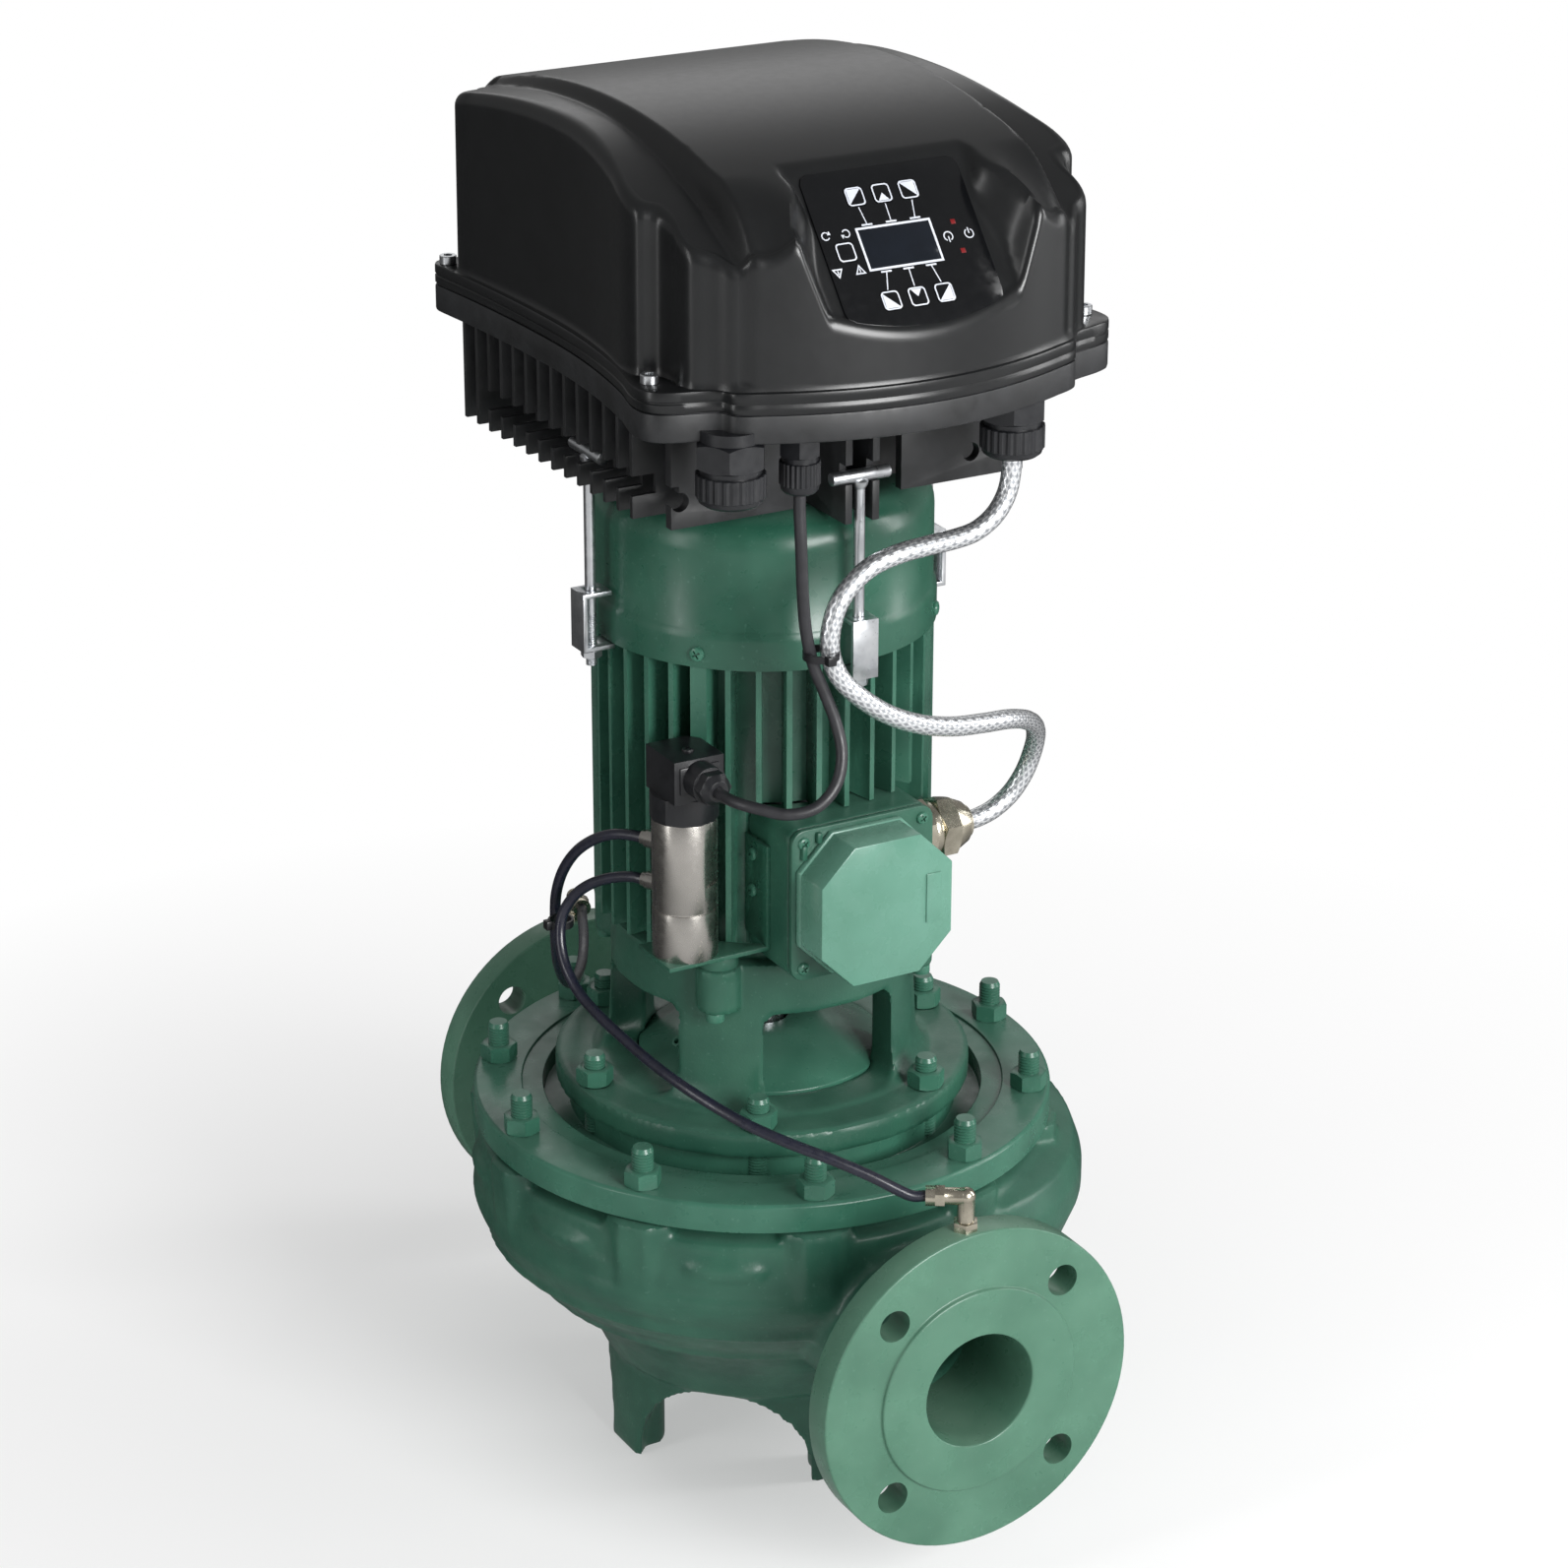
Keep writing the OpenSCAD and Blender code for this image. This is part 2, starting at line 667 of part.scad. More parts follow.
// Fan-end shield: bearing seat, and four arms that carry the cowl
module fan_end_shield() {
    arm_r = cowl_r - cowl_wall - 0.3;
    color(paint) difference() {
        union() {
            disc(barrel_r, motor_top - 7, motor_top);
            disc(34, motor_top - 13, motor_top + 14);
            intersection() {
                for (a = cowl_screw_angles) rotate(a) translate([20, -6, motor_top])
                    cube([80, 12, 14]);
                disc(arm_r, motor_top, motor_top + 14);
            }
        }
        disc(fan_bearing_r + 9, motor_top - 14, motor_top + 15);
        disc(26 + fit, fan_bearing_z, motor_top + 10);
        for (a = cowl_screw_angles) rotate(a) translate([cowl_r - 16, 0, motor_top + 8])
            rotate([0, 90, 0]) cylinder(h = 30, r = 2 + fit);
    }
}
module cooling_fan() {
    fan_z = motor_top + 18;
    color(plastic) difference() {
        union() {
            disc(15, fan_z, fan_z + 24);
            disc(62, fan_z, fan_z + 3);
            for (a = even(7)) rotate(a) translate([14, -1.2, fan_z + 2]) cube([54, 2.4, 22]);
        }
        disc(fan_seat_r + fit, fan_z - 1, fan_z + 25);
    }
}

// Pressed fan cowl with a grille in its crown
module cowl_profile(inset) {
    r = cowl_r - inset;
    shoulder = cowl_top - 19 - inset / 2;
    rotate_extrude() polygon(concat(
        [[0, motor_top - inset], [r, motor_top - inset], [r, motor_top + 15.6], [r - 1, motor_top + 20],
         [r - 2, motor_top + 21], [r - 2, shoulder]],
        [for (a = [15 : 15 : 90]) [r - 22 + 20 * cos(a), shoulder + (cowl_top - inset - shoulder) * sin(a)]],
        [[0, cowl_top - inset]]
    ));
}
module fan_cowl() {
    color(paint) difference() {
        cowl_profile(0);
        cowl_profile(cowl_wall);
        for (ring = [[26, 10], [42, 16], [58, 22]])
            around(even(ring[1]), ring[0]) disc(4.5, cowl_top - 10, cowl_top + 1);
        for (a = cowl_screw_angles) rotate(a) translate([cowl_r - 16, 0, motor_top + 8])
            rotate([0, 90, 0]) cylinder(h = 30, r = 2.4);
    }
}
// Pan-head screws of the cowl, the terminal cover and the sensor bracket
module pan_screw(head_r, shank_r, length) {
    disc(head_r, 0, head_r * 0.6);
    disc(shank_r, -length, 0.5);
}
module motor_screws() {
    color(zinc) {
        for (a = cowl_screw_angles) rotate(a) translate([cowl_r, 0, motor_top + 8])
            rotate([0, 90, 0]) pan_screw(4, 2, 9);
        for (x = [-1, 1], z = [-1, 1])
            translate([x * box_screw, -box_front, box_z + z * box_screw])
                towards_inlet() pan_screw(3.4, 2, 12);
        for (z = [box_z - 3, box_z + 18])
            translate([-box_w / 2 - bracket_t, -72, z])
                rotate([0, -90, 0]) pan_screw(3.6, 2, 9);
    }
}

// Terminal box, its octagonal cover, and the board with six terminals
module terminal_box() {
    color(paint) difference() {
        translate([0, 0, box_z]) towards_inlet() translate([0, 0, box_back])
            linear_extrude(box_front - box_back) rounded(box_w, box_w, 8);
        disc(barrel_r + fit, lantern_top - 5, motor_top);
        translate([0, 0, box_z]) towards_inlet() translate([0, 0, box_front - 20])
            linear_extrude(21) rounded(box_w - 26, box_w - 26, 6);
        for (x = [-1, 1], z = [-1, 1])
            translate([x * box_screw, -box_front + 13, box_z + z * box_screw])
                towards_inlet() cylinder(h = 15, r = 2 + fit);
        for (z = [box_z - 3, box_z + 18]) translate([-box_w / 2 - 1, -72, z])
            rotate([0, 90, 0]) cylinder(h = 9, r = 2 + fit);
        translate([box_w / 2 - 13, gland_y, gland_z])
            rotate([0, 90, 0]) cylinder(h = 20, r = 12 + fit);
    }
}
module octagon(w, cut) {
    half = w / 2;
    polygon([
        [half - cut, -half], [half, -half + cut], [half, half - cut], [half - cut, half],
        [cut - half, half], [-half, half - cut], [-half, cut - half], [cut - half, -half]
    ]);
}
module terminal_cover() {
    cover_w = 79;
    color(paint) translate([0, -box_front, box_z]) towards_inlet() difference() {
        union() {
            linear_extrude(octagon_d) octagon(cover_w, 19.5);
            linear_extrude(4) octagon(cover_w + 2, 19.5);
            translate([28, 2, octagon_d - 0.5]) linear_extrude(1.1) square([9, 28], center = true);
        }
        translate([0, 0, -1]) linear_extrude(octagon_d - 2) octagon(cover_w - 7, 17.5);
    }
}
module terminal_board() {
    color("saddlebrown") translate([0, -box_front + 20, box_z]) towards_inlet() {
        linear_extrude(6) rounded(box_w - 32, box_w - 46, 3);
        for (x = [-16, 0, 16], y = [-9, 9]) translate([x, y, 5]) cylinder(h = 12, r = 2.5);
    }
}
// Nickel cable gland on the side of the box, bored for the power cable
module motor_gland() {
    color(nickel) translate([box_w / 2, gland_y, gland_z]) rotate([0, 90, 0]) difference() {
        union() {
            disc(12, -9, 1);
            hex(18.2, 9);
            disc(15, 8, 14);
            translate([0, 0, 13]) hex(17.6, 11);
            translate([0, 0, 24]) cylinder(h = 9, r1 = 15, r2 = 11);
            disc(9, 32, 35);
        }
        disc(power_cable_r - 0.6, -10, 34);
    }
}

// Outline of the inverter, seen from above, moved inwards by a distance
function side_x(y) = waist + (y < 8 ? 14 : 6) * pow((y - 8) / 118, 2);
function bow_y(x) = -177 + 29 * pow(x / 103, 2);
half_outline = concat(
    [for (x = [0 : 14 : 98]) [x, bow_y(x)]],
    [[102, -142], [124, -134], [131, -130], [135, -123], [135, -111]],
    [for (y = [-90 : 22 : 86]) [side_x(y), y]],
    [[side_x(108), 108], [side_x(122), 122], [side_x(134), 134], [121, 140]]
);
// Walls of the cover: as the outline, but behind the screws in the corners
half_wall = concat(
    [for (i = [0 : 7]) half_outline[i]],
    [[105, -142], [114, -136], [117, -129], [117, -118], [120, -108], [128, -103]],
    [for (y = [-90 : 22 : 86]) [side_x(y), y]],
    [[side_x(101), 101], [side_x(114), 114], [118, 120], [111, 122], [107, 127], [104, 136]]
);
function both_sides(half) = concat(
    half, [for (i = [len(half) - 1 : -1 : 1]) [-half[i][0], half[i][1]]]
);
full_outline = both_sides(half_outline);
full_wall = both_sides(half_wall);
function pulled(p, d) = p * (1 - d * (p[1] < -130 ? 0.55 : 1) / norm(p));
function inward(d, outline) = [for (p = outline) pulled(p, d)];

// Height of the cover's skin over a point of the outline
function centre_roof(y) = roof_z - 0.0011 * pow(y - 10, 2);
function side_roof(y) = roof_z - 7 - (y > 8 ? 0.00095 : 0.0019) * pow(y - 8, 2);
function band(x) = min(1, max(0, (abs(x) - 86) / 8));
function slope(x, y) = display_mid[2] + (y - display_mid[1]) * tan(display_tilt)
    + 1.2 * max(0, abs(x) - display_w / 2 - 7);
function skin(x, y) = min(
    centre_roof(y) * (1 - band(x)) + min(centre_roof(y), side_roof(y)) * band(x),
    slope(x, y)
);
function over(p, drop) = [p[0], p[1], skin(p[0], p[1]) - drop];
function at_height(points, z) = [for (p = points) [p[0], p[1], z]];
function skin_ring(d, share, drop) = [
    for (p = full_wall) over(pulled(p, d) * share + [0, -20] * (1 - share), drop)
];
module loft(rings, top) {
    count = len(rings[0]);
    last = len(rings) - 1;
    points = concat([for (ring = rings, p = ring) p], [top]);
    faces = concat(
        [[for (i = [0 : count - 1]) i]],
        [for (k = [0 : last - 1], i = [0 : count - 1]) each [
            [k * count + i, (k + 1) * count + i, (k + 1) * count + (i + 1) % count],
            [k * count + i, (k + 1) * count + (i + 1) % count, k * count + (i + 1) % count]
        ]],
        [for (i = [0 : count - 1]) [last * count + i, (last + 1) * count, last * count + (i + 1) % count]]
    );
    polyhedron(points, faces);
}
module cover_body(wall, z0) {
    loft([
        at_height(inward(3 + wall, full_wall), z0),
        at_height(inward(3.4 + wall, full_wall), wall_z),
        [for (p = full_wall) let (q = pulled(p, 9 + wall)) [q[0], q[1],
            max(wall_z + 2, skin(q[0], q[1]) - 9 - wall)]],
        skin_ring(12 + wall, 1, 3 + wall),
        skin_ring(18 + wall, 1, wall),
        skin_ring(18 + wall, 0.86, wall),
        skin_ring(18 + wall, 0.72, wall),
        skin_ring(18 + wall, 0.54, wall),
        skin_ring(18 + wall, 0.36, wall),
        skin_ring(18 + wall, 0.18, wall)
    ], [0, -20, skin(0, -20) - wall]);
}
// Places one thing on the display's slope
module on_slope(x, up, lift) {
    translate(display_mid) rotate([display_tilt, 0, 0]) translate([x, up, lift]) children();
}
// The overlay's lower edge is bowed as the front of the cover is
module overlay_outline(gap) {
    bow_r = 135;
    intersection() {
        rounded(display_w + 2 * gap, display_l + 2 * gap, 5);
        translate([0, bow_r - display_l / 2]) circle(r = bow_r + gap, $fn = 180);
    }
}
module inverter_cover() {
    color(plastic) difference() {
        union() {
            cover_body(0, lip_z);
            translate([0, 0, lip_z]) linear_extrude(lip_h) polygon(full_outline);
        }
        cover_body(cover_wall, lip_z - 1);
        for (p = cover_screw_places) {
            translate([p[0], p[1], lip_z - 1]) cylinder(h = lip_h + 2, r = 2.6);
            translate([p[0], p[1], wall_z - 0.2]) cylinder(h = 8, r = 6);
        }
        on_slope(0, 0, -1) linear_extrude(20) overlay_outline(slip);
    }
}
module inverter_gasket() {
    color(rubber) translate([0, 0, lip_z - 0.5]) difference() {
        linear_extrude(0.5) polygon(inward(2, full_outline));
        translate([0, 0, -1]) linear_extrude(3) polygon(inward(7, full_outline));
        for (p = cover_screw_places) translate([p[0], p[1], -1]) cylinder(h = 3, r = 4);
    }
}

// Die-cast tray with the heat sink under it
module rib(y0, y1, x) {
    translate([x - 2, y0, cowl_top]) cube([4, y1 - y0, tray_z - cowl_top + 1]);
}
module heat_sink() {
    plate_w = 104;
    sink_back = 134;
    notch_z = sink_z + 12;
    color(plastic) difference() {
        union() {
            translate([0, 0, tray_z]) difference() {
                linear_extrude(tray_h) polygon(full_outline);
                translate([0, 0, 6]) linear_extrude(tray_h) polygon(inward(11, full_outline));
            }
            translate([-plate_w, -92, tray_z - 16]) cube([2 * plate_w, 92 + sink_back, 17]);
            for (i = [0 : 13]) translate([-113, -69 + 15 * i, sink_z])
                cube([226, 3, sink_h + 0.5]);
            for (x = [-plate_w, 30]) translate([x, -94, sink_z])
                cube([plate_w - 30, 6, sink_h + 0.5]);
            for (side = [-1, 1], x = [-8, 8]) rib(side > 0 ? 44 : -106, side > 0 ? 106 : -44, x);
            for (p = cover_screw_places) translate([p[0], p[1], tray_z]) cylinder(h = tray_h, r = 6);
            for (x = [-80, 80], y = [-70, 80]) translate([x, y, tray_z]) cylinder(h = 32, r = 4);
        }
        for (side = [-1, 1]) {
            translate([side * (rod_pitch + 14.5), 0, notch_z + bar_r * 1.5])
                cube([36, 220, 3 * bar_r], center = true);
            translate([0, side * (rod_pitch + 16.3), notch_z + bar_r * 1.5])
                cube([30, 40, 3 * bar_r], center = true);
            translate([0, side * rod_pitch, cowl_top - 1]) cylinder(h = 50, r = rod_r + 2);
            translate([side * rod_pitch, 0, cowl_top - 1]) cylinder(h = 50, r = rod_r + 1);
        }
        for (x = [-99, 72]) translate([x, -100, sink_z + 14]) towards_outlet()
            cylinder(h = 20, r = 5);
        for (p = [[power_x, 12.5], [signal_x, 8], [spare_x, 16]])
            translate([p[0], gland_row, tray_z - 1]) cylinder(h = 8, r = p[1] + fit);
        for (p = cover_screw_places)
            translate([p[0], p[1], tray_z + 2]) cylinder(h = tray_h, r = 2.5);
    }
}

// Socket screws in the four corners of the inverter cover
module cover_screws() {
    color(zinc) for (p = cover_screw_places) translate([p[0], p[1], 0]) difference() {
        union() {
            disc(4.6, wall_z - 0.2, wall_z + 4.8);
            disc(2.4, tray_z + 3, wall_z);
        }
        translate([0, 0, wall_z + 2]) hex(2.3, 4);
    }
}

// Display overlay, screen and the seven keys
key_places = [
    [screen_x - key_gap, key_row], [screen_x, key_row], [screen_x + key_gap, key_row],
    [screen_x - key_gap, -key_row], [screen_x, -key_row], [screen_x + key_gap, -key_row],
    [key_side, 0]
];
module display_panel() {
    color("#101114") on_slope(0, 0, -1) difference() {
        linear_extrude(panel_t) overlay_outline(0);
        translate([screen_x, 0, 0.6]) linear_extrude(panel_t)
            square([screen_w + 0.2, screen_l + 0.2], center = true);
        for (p = key_places) translate([p[0], p[1], -0.1]) linear_extrude(panel_t + 1)
            rounded(key_w + 2 * slip, key_w + 2 * slip, 2.5);
    }
}
module display_screen() {
    color("#26282c") on_slope(screen_x, 0, -0.4) linear_extrude(1.3)
        square([screen_w, screen_l], center = true);
}
module key(place) {
    color("#d8d8d8") on_slope(place[0], place[1], key_travel - 0.7)
        linear_extrude(key_t) rounded(key_w, key_w, 2.2);
}
module key_1() { key(key_places[0]); }
module key_2() { key(key_places[1]); }
module key_3() { key(key_places[2]); }
module key_4() { key(key_places[3]); }
module key_5() { key(key_places[4]); }
module key_6() { key(key_places[5]); }
module key_7() { key(key_places[6]); }

// Control board on four posts, with its capacitors
module control_board() {
    color("darkgreen") translate([0, 0, tray_z + 32]) difference() {
        union() {
            translate([-92, -90, 0]) cube([184, 200, 2]);
            for (x = [-45, -15, 15, 45]) translate([x, 60, 1]) cylinder(h = 45, r = 13);
            translate([-60, -40, 1]) cube([70, 50, 18]);
        }
    }
}

// Black cable glands under the tray
module gland(thread_r, flats_r, drop, hole_r) {
    color(plastic) difference() {
        union() {
            disc(thread_r, -1, 7);
            translate([0, 0, -drop * 0.42]) hex(flats_r, drop * 0.42);
            disc(flats_r * 0.82, -drop * 0.55, 0);
            translate([0, 0, -drop * 0.86]) cylinder(h = drop * 0.36, r = flats_r * 0.93, $fn = 12);
            translate([0, 0, -drop]) cylinder(h = drop * 0.15, r1 = flats_r * 0.62, r2 = flats_r * 0.88);
        }
        disc(hole_r, -drop + 0.01, 8);
    }
}
module power_gland() { translate([power_x, gland_row, tray_z]) gland(12.5, 18, 34, power_cable_r - 0.6); }
module signal_gland() { translate([signal_x, gland_row, tray_z]) gland(8, 11.3, 34, signal_cable_r - 0.6); }
module spare_gland() {
    translate([spare_x, gland_row, tray_z]) {
        gland(16, 19, 34, 6);
        color(plastic) disc(6, -33, -20);
    }
}

// Tie rods with welded T-bars, U clamps and their nuts
module tie_rods() {
    bar_z = sink_z + 12 + bar_r;
    color(zinc) for (a = rod_angles) rotate(a) translate([rod_pitch, 0, 0]) {
        disc(rod_r, motor_top - 12, bar_z);
        translate([0, -bar_l / 2, bar_z]) towards_outlet() cylinder(h = bar_l, r = bar_r);
    }
}
module clamp_hooks() {
    arm_t = 2.5;
    clamp_in = fin_r + 0.3;
    clamp_out = rod_pitch + 8;
    color(zinc) for (a = rod_angles) rotate(a) difference() {
        union() {
            translate([clamp_out - arm_t, -7.5, motor_top - arm_t])
                cube([arm_t, 15, clamp_h + arm_t]);
            translate([clamp_in, -7.5, motor_top - arm_t]) cube([clamp_out - clamp_in, 15, arm_t]);
            translate([cowl_r + slip, -7.5, motor_top + clamp_h - arm_t])
                cube([clamp_out - cowl_r - slip, 15, arm_t]);
        }
        translate([rod_pitch, 0, 0]) disc(rod_r + 0.3, motor_top - 5, motor_top + clamp_h + 1);
    }
}
module clamp_nuts() {
    color(zinc) around(rod_angles, rod_pitch) translate([0, 0, motor_top - 2.5 - 5]) difference() {
        hex(5.8, 5);
        disc(rod_r + fit, -1, 6);
    }
}

// Differential sensor on its bracket
module sensor_body() {
    color(steel) difference() {
        union() {
            translate([sensor_x, sensor_y, 0]) {
                disc(sensor_r, lip_top, lip_top + 27);
                disc(sensor_r - 0.5, lip_top + 26, lip_top + 29);
                disc(sensor_r, lip_top + 28, collar_z);
                disc(4, lip_top - bracket_t, lip_top + 1);
                disc(6, lip_top - bracket_t - 4, lip_top - bracket_t);
                for (z = [port_low, port_high]) translate([0, 0, z])
                    rotate(port_turn) rotate([0, 90, 0]) {
                        disc(5, sensor_r - 2, port_reach - 3);
                        disc(4, sensor_r - 2, port_reach);
                    }
            }
        }
        translate([sensor_x, sensor_y, 0]) rotate(-55)
            translate([sensor_r - 1.6, -12, lip_top + 42]) cube([6, 24, 19]);
        for (z = [port_low, port_high]) translate([sensor_x, sensor_y, z])
            rotate(port_turn) rotate([0, 90, 0]) disc(2, sensor_r, port_reach + 1);
    }
}
module sensor_connector() {
    color(plastic) translate([sensor_x, sensor_y, 0]) difference() {
        union() {
            translate([0, 0, collar_z]) cylinder(h = 14, r = sensor_r + 0.8, $fn = 12);
            translate([0, 0, socket_z]) linear_extrude(socket_top - socket_z)
                polygon([[-14.5, -17], [14.5, -17], [14.5, 8], [9, 15], [-14.5, 15]]);
            translate([0, -16, socket_gland_z]) towards_inlet() {
                cylinder(h = 13, r = 10);
                translate([0, 0, 13]) hex(9.5, 6);
                translate([0, 0, 19]) cylinder(h = 3.5, r1 = 8.5, r2 = 5.5);
            }
        }
        translate([0, -20, socket_gland_z]) towards_inlet() cylinder(h = 30, r = signal_cable_r - 0.6);
    }
}
module sensor_bracket() {
    leg_bottom = lip_top - bracket_t;
    front = 87;
    lip_left = sensor_x - sensor_r - 0.5;
    lip_right = -box_w / 2 - bracket_t;
    color(paint) difference() {
        union() {
            translate([lip_right, -front, leg_bottom])
                cube([bracket_t, front - barrel_r + 13, box_z + 27 - leg_bottom]);
            translate([lip_left, -front, leg_bottom])
                cube([lip_right - lip_left + bracket_t, 36, bracket_t]);
        }
        disc(fin_r + 0.6, leg_bottom - 1, leg_bottom + bracket_t + 1);
        translate([sensor_x, sensor_y, 0]) disc(4 + fit, leg_bottom - 1, lip_top + 1);
        for (z = [box_z - 3, box_z + 18]) translate([-box_w / 2 - 5, -72, z])
            rotate([0, 90, 0]) cylinder(h = 10, r = 2.3);
    }
}

// Push-in fittings on the flange rims
module elbow(end) {
    base = [tap_x, end[1] > 0 ? tap_y : -tap_y, tap_z];
    corner = [base[0], base[1], end[2]];
    arm = end - corner;
    turn = atan2(arm[1], arm[0]);
    color(nickel) difference() {
        union() {
            translate(base) {
                disc(tap_r, -9, 1);
                hex(7, 6);
                disc(4.6, 0, corner[2] - base[2]);
            }
            translate(corner) sphere(5);
            translate(corner) rotate(turn) rotate([0, 90, 0]) {
                disc(4.6, 0, norm(arm) - 3);
                translate([0, 0, norm(arm) - 10]) hex(6.2, 5);
                disc(5.4, norm(arm) - 5, norm(arm));
            }
        }
        translate(base) disc(1.8, -10, corner[2] - base[2]);
        translate(corner) rotate(turn) rotate([0, 90, 0]) disc(2, 0, norm(arm) + 1);
    }
}
module front_elbow() { elbow(front_hose_route[len(front_hose_route) - 1]); }
module rear_elbow() { elbow(rear_hose_route[len(rear_hose_route) - 1]); }

// Cords, each a tube swept along its route
function heading(route, i) = direction(
    route[min(i + 1, len(route) - 1)] - route[max(i - 1, 0)]
);
function across(v, t) = direction(v - t * (v * t));
function frames(route, first) = [
    for (i = 0, s = across(first, heading(route, 0)); i < len(route);
        i = i + 1, s = i < len(route) ? across(s, heading(route, i)) : s) s
];
module cord(route, r, first, sides = 10) {
    side = frames(route, first);
    count = len(route);
    points = [
        for (i = [0 : count - 1], k = [0 : sides - 1])
            let (t = heading(route, i), u = side[i], v = cross(t, u), a = k * 360 / sides)
                route[i] + r * (cos(a) * u + sin(a) * v)
    ];
    faces = concat(
        [[for (k = [sides - 1 : -1 : 0]) k]],
        [for (i = [0 : count - 2], k = [0 : sides - 1]) let (n = (k + 1) % sides) each [
            [i * sides + k, i * sides + n, (i + 1) * sides + n],
            [i * sides + k, (i + 1) * sides + n, (i + 1) * sides + k]
        ]],
        [[for (k = [0 : sides - 1]) (count - 1) * sides + k]]
    );
    polyhedron(points, [for (f = faces) [for (j = [len(f) - 1 : -1 : 0]) f[j]]]);
}
module front_hose() { color(rubber) cord(front_hose_route, hose_r, [0, 0, 1]); }
module rear_hose() { color(rubber) cord(rear_hose_route, hose_r, [0, 0, 1]); }
module signal_cable() { color(rubber) cord(signal_cable_route, signal_cable_r, [1, 0, 0]); }
module power_cable() { color("silver") cord(power_cable_route, power_cable_r, [0, 1, 0]); }
module cable_ties() {
    color(rubber) for (p = tie_places)
        translate([p[0], p[1], p[2]]) tube(p[3], p[3] - 1.2, -2, 2);
}

volute_casing();
wear_ring();
impeller();
impeller_nut();
casing_gasket();
casing_cover();
flange_studs();
flange_nuts();
seal_head();
seal_seat();
lantern();
lantern_screws();
vent_fitting();
motor_shaft();
bearing_outer_races();
bearing_inner_races();
bearing_balls();
drive_end_shield();
motor_housing();
stator_core();
stator_windings();
rotor_core();
fan_end_shield();
cooling_fan();
fan_cowl();
motor_screws();
terminal_box();
terminal_cover();
terminal_board();
motor_gland();
heat_sink();
inverter_gasket();
inverter_cover();
cover_screws();
display_panel();
display_screen();
key_1();
key_2();
key_3();
key_4();
key_5();
key_6();
key_7();
control_board();
power_gland();
signal_gland();
spare_gland();
tie_rods();
clamp_hooks();
clamp_nuts();
sensor_body();
sensor_connector();
sensor_bracket();
front_elbow();
rear_elbow();
front_hose();
rear_hose();
signal_cable();
power_cable();
cable_ties();
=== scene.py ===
# Studio picture of an in-line circulation pump with a frequency inverter on its motor.
# The pump stands on the floor with its shaft upright along Z. The inlet flange faces -Y.
from math import atan2, cos, degrees, pi, radians, sin, sqrt

import bmesh
import bpy
from mathutils import Matrix, Vector
from mathutils.geometry import interpolate_bezier


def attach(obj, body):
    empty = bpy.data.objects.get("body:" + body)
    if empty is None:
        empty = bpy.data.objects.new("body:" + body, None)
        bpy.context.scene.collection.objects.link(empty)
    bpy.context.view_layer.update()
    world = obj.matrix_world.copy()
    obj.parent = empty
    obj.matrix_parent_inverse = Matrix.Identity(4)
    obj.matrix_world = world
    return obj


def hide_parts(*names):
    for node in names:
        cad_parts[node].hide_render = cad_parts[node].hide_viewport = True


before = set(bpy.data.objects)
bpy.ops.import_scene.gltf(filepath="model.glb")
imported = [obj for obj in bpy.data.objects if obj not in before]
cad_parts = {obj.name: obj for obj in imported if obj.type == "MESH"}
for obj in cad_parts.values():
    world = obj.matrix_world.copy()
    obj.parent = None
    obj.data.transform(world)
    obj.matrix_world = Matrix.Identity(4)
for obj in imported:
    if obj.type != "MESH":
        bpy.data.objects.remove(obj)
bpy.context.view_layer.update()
MM = 0.001

# Camera: a long lens above the pump's front left, as in the photograph.
# Its place and turn were solved from the flange, the foot and the motor's edges.
camera = bpy.data.objects.new("camera", bpy.data.cameras.new("camera"))
bpy.context.scene.collection.objects.link(camera)
bpy.context.scene.camera = camera
camera.data.sensor_width = 36
camera.data.lens = 99.88
camera.data.clip_end = 20
camera_height = radians(22.36)
camera_round = radians(-29.25)
camera_roll = radians(0.13)
camera.matrix_world = (
    Matrix.Translation((-1.06584, -1.92785, 1.29600))
    @ Matrix.Rotation(camera_round, 4, "Z")
    @ Matrix.Rotation(pi / 2 - camera_height, 4, "X")
    @ Matrix.Rotation(camera_roll, 4, "Z")
)


def linear(code):
    """An sRGB hex code as the linear colour that a shader takes."""
    shares = [int(code[i:i + 2], 16) / 255 for i in (1, 3, 5)]
    return [s / 12.92 if s <= 0.04045 else ((s + 0.055) / 1.055) ** 2.4 for s in shares] + [1.0]


def add(material, kind, inputs=None, **settings):
    """A shader node with its settings. An input is a value, or the socket that feeds it."""
    tree = material.node_tree
    made = tree.nodes.new("ShaderNode" + kind)
    for name, value in settings.items():
        setattr(made, name, value)
    for name, value in (inputs or {}).items():
        if isinstance(value, bpy.types.NodeSocket):
            tree.links.new(value, made.inputs[name])
        else:
            made.inputs[name].default_value = value
    return made


def finish(name, values):
    """A material whose shader takes plain values now, and textures once they are made."""
    material = bpy.data.materials.new(name)
    material.use_nodes = True
    shader = material.node_tree.nodes["Principled BSDF"]
    for key, value in values.items():
        shader.inputs[key].default_value = value
    return material


def feed(material, **sockets):
    """Links sockets to the shader's inputs, such as base_color, roughness and normal."""
    shader = material.node_tree.nodes["Principled BSDF"]
    for name, socket in sockets.items():
        words = name.replace("_", " ").title()
        material.node_tree.links.new(socket, shader.inputs[words])


def noise(material, size, detail=3.0, coordinates=None, roughness=0.5):
    """Noise whose blotches are about size millimetres wide."""
    place = coordinates or add(material, "TexCoord").outputs["Object"]
    return add(material, "TexNoise", {
        "Vector": place, "Scale": 1 / (size * MM), "Detail": detail, "Roughness": roughness,
    }).outputs["Fac"]


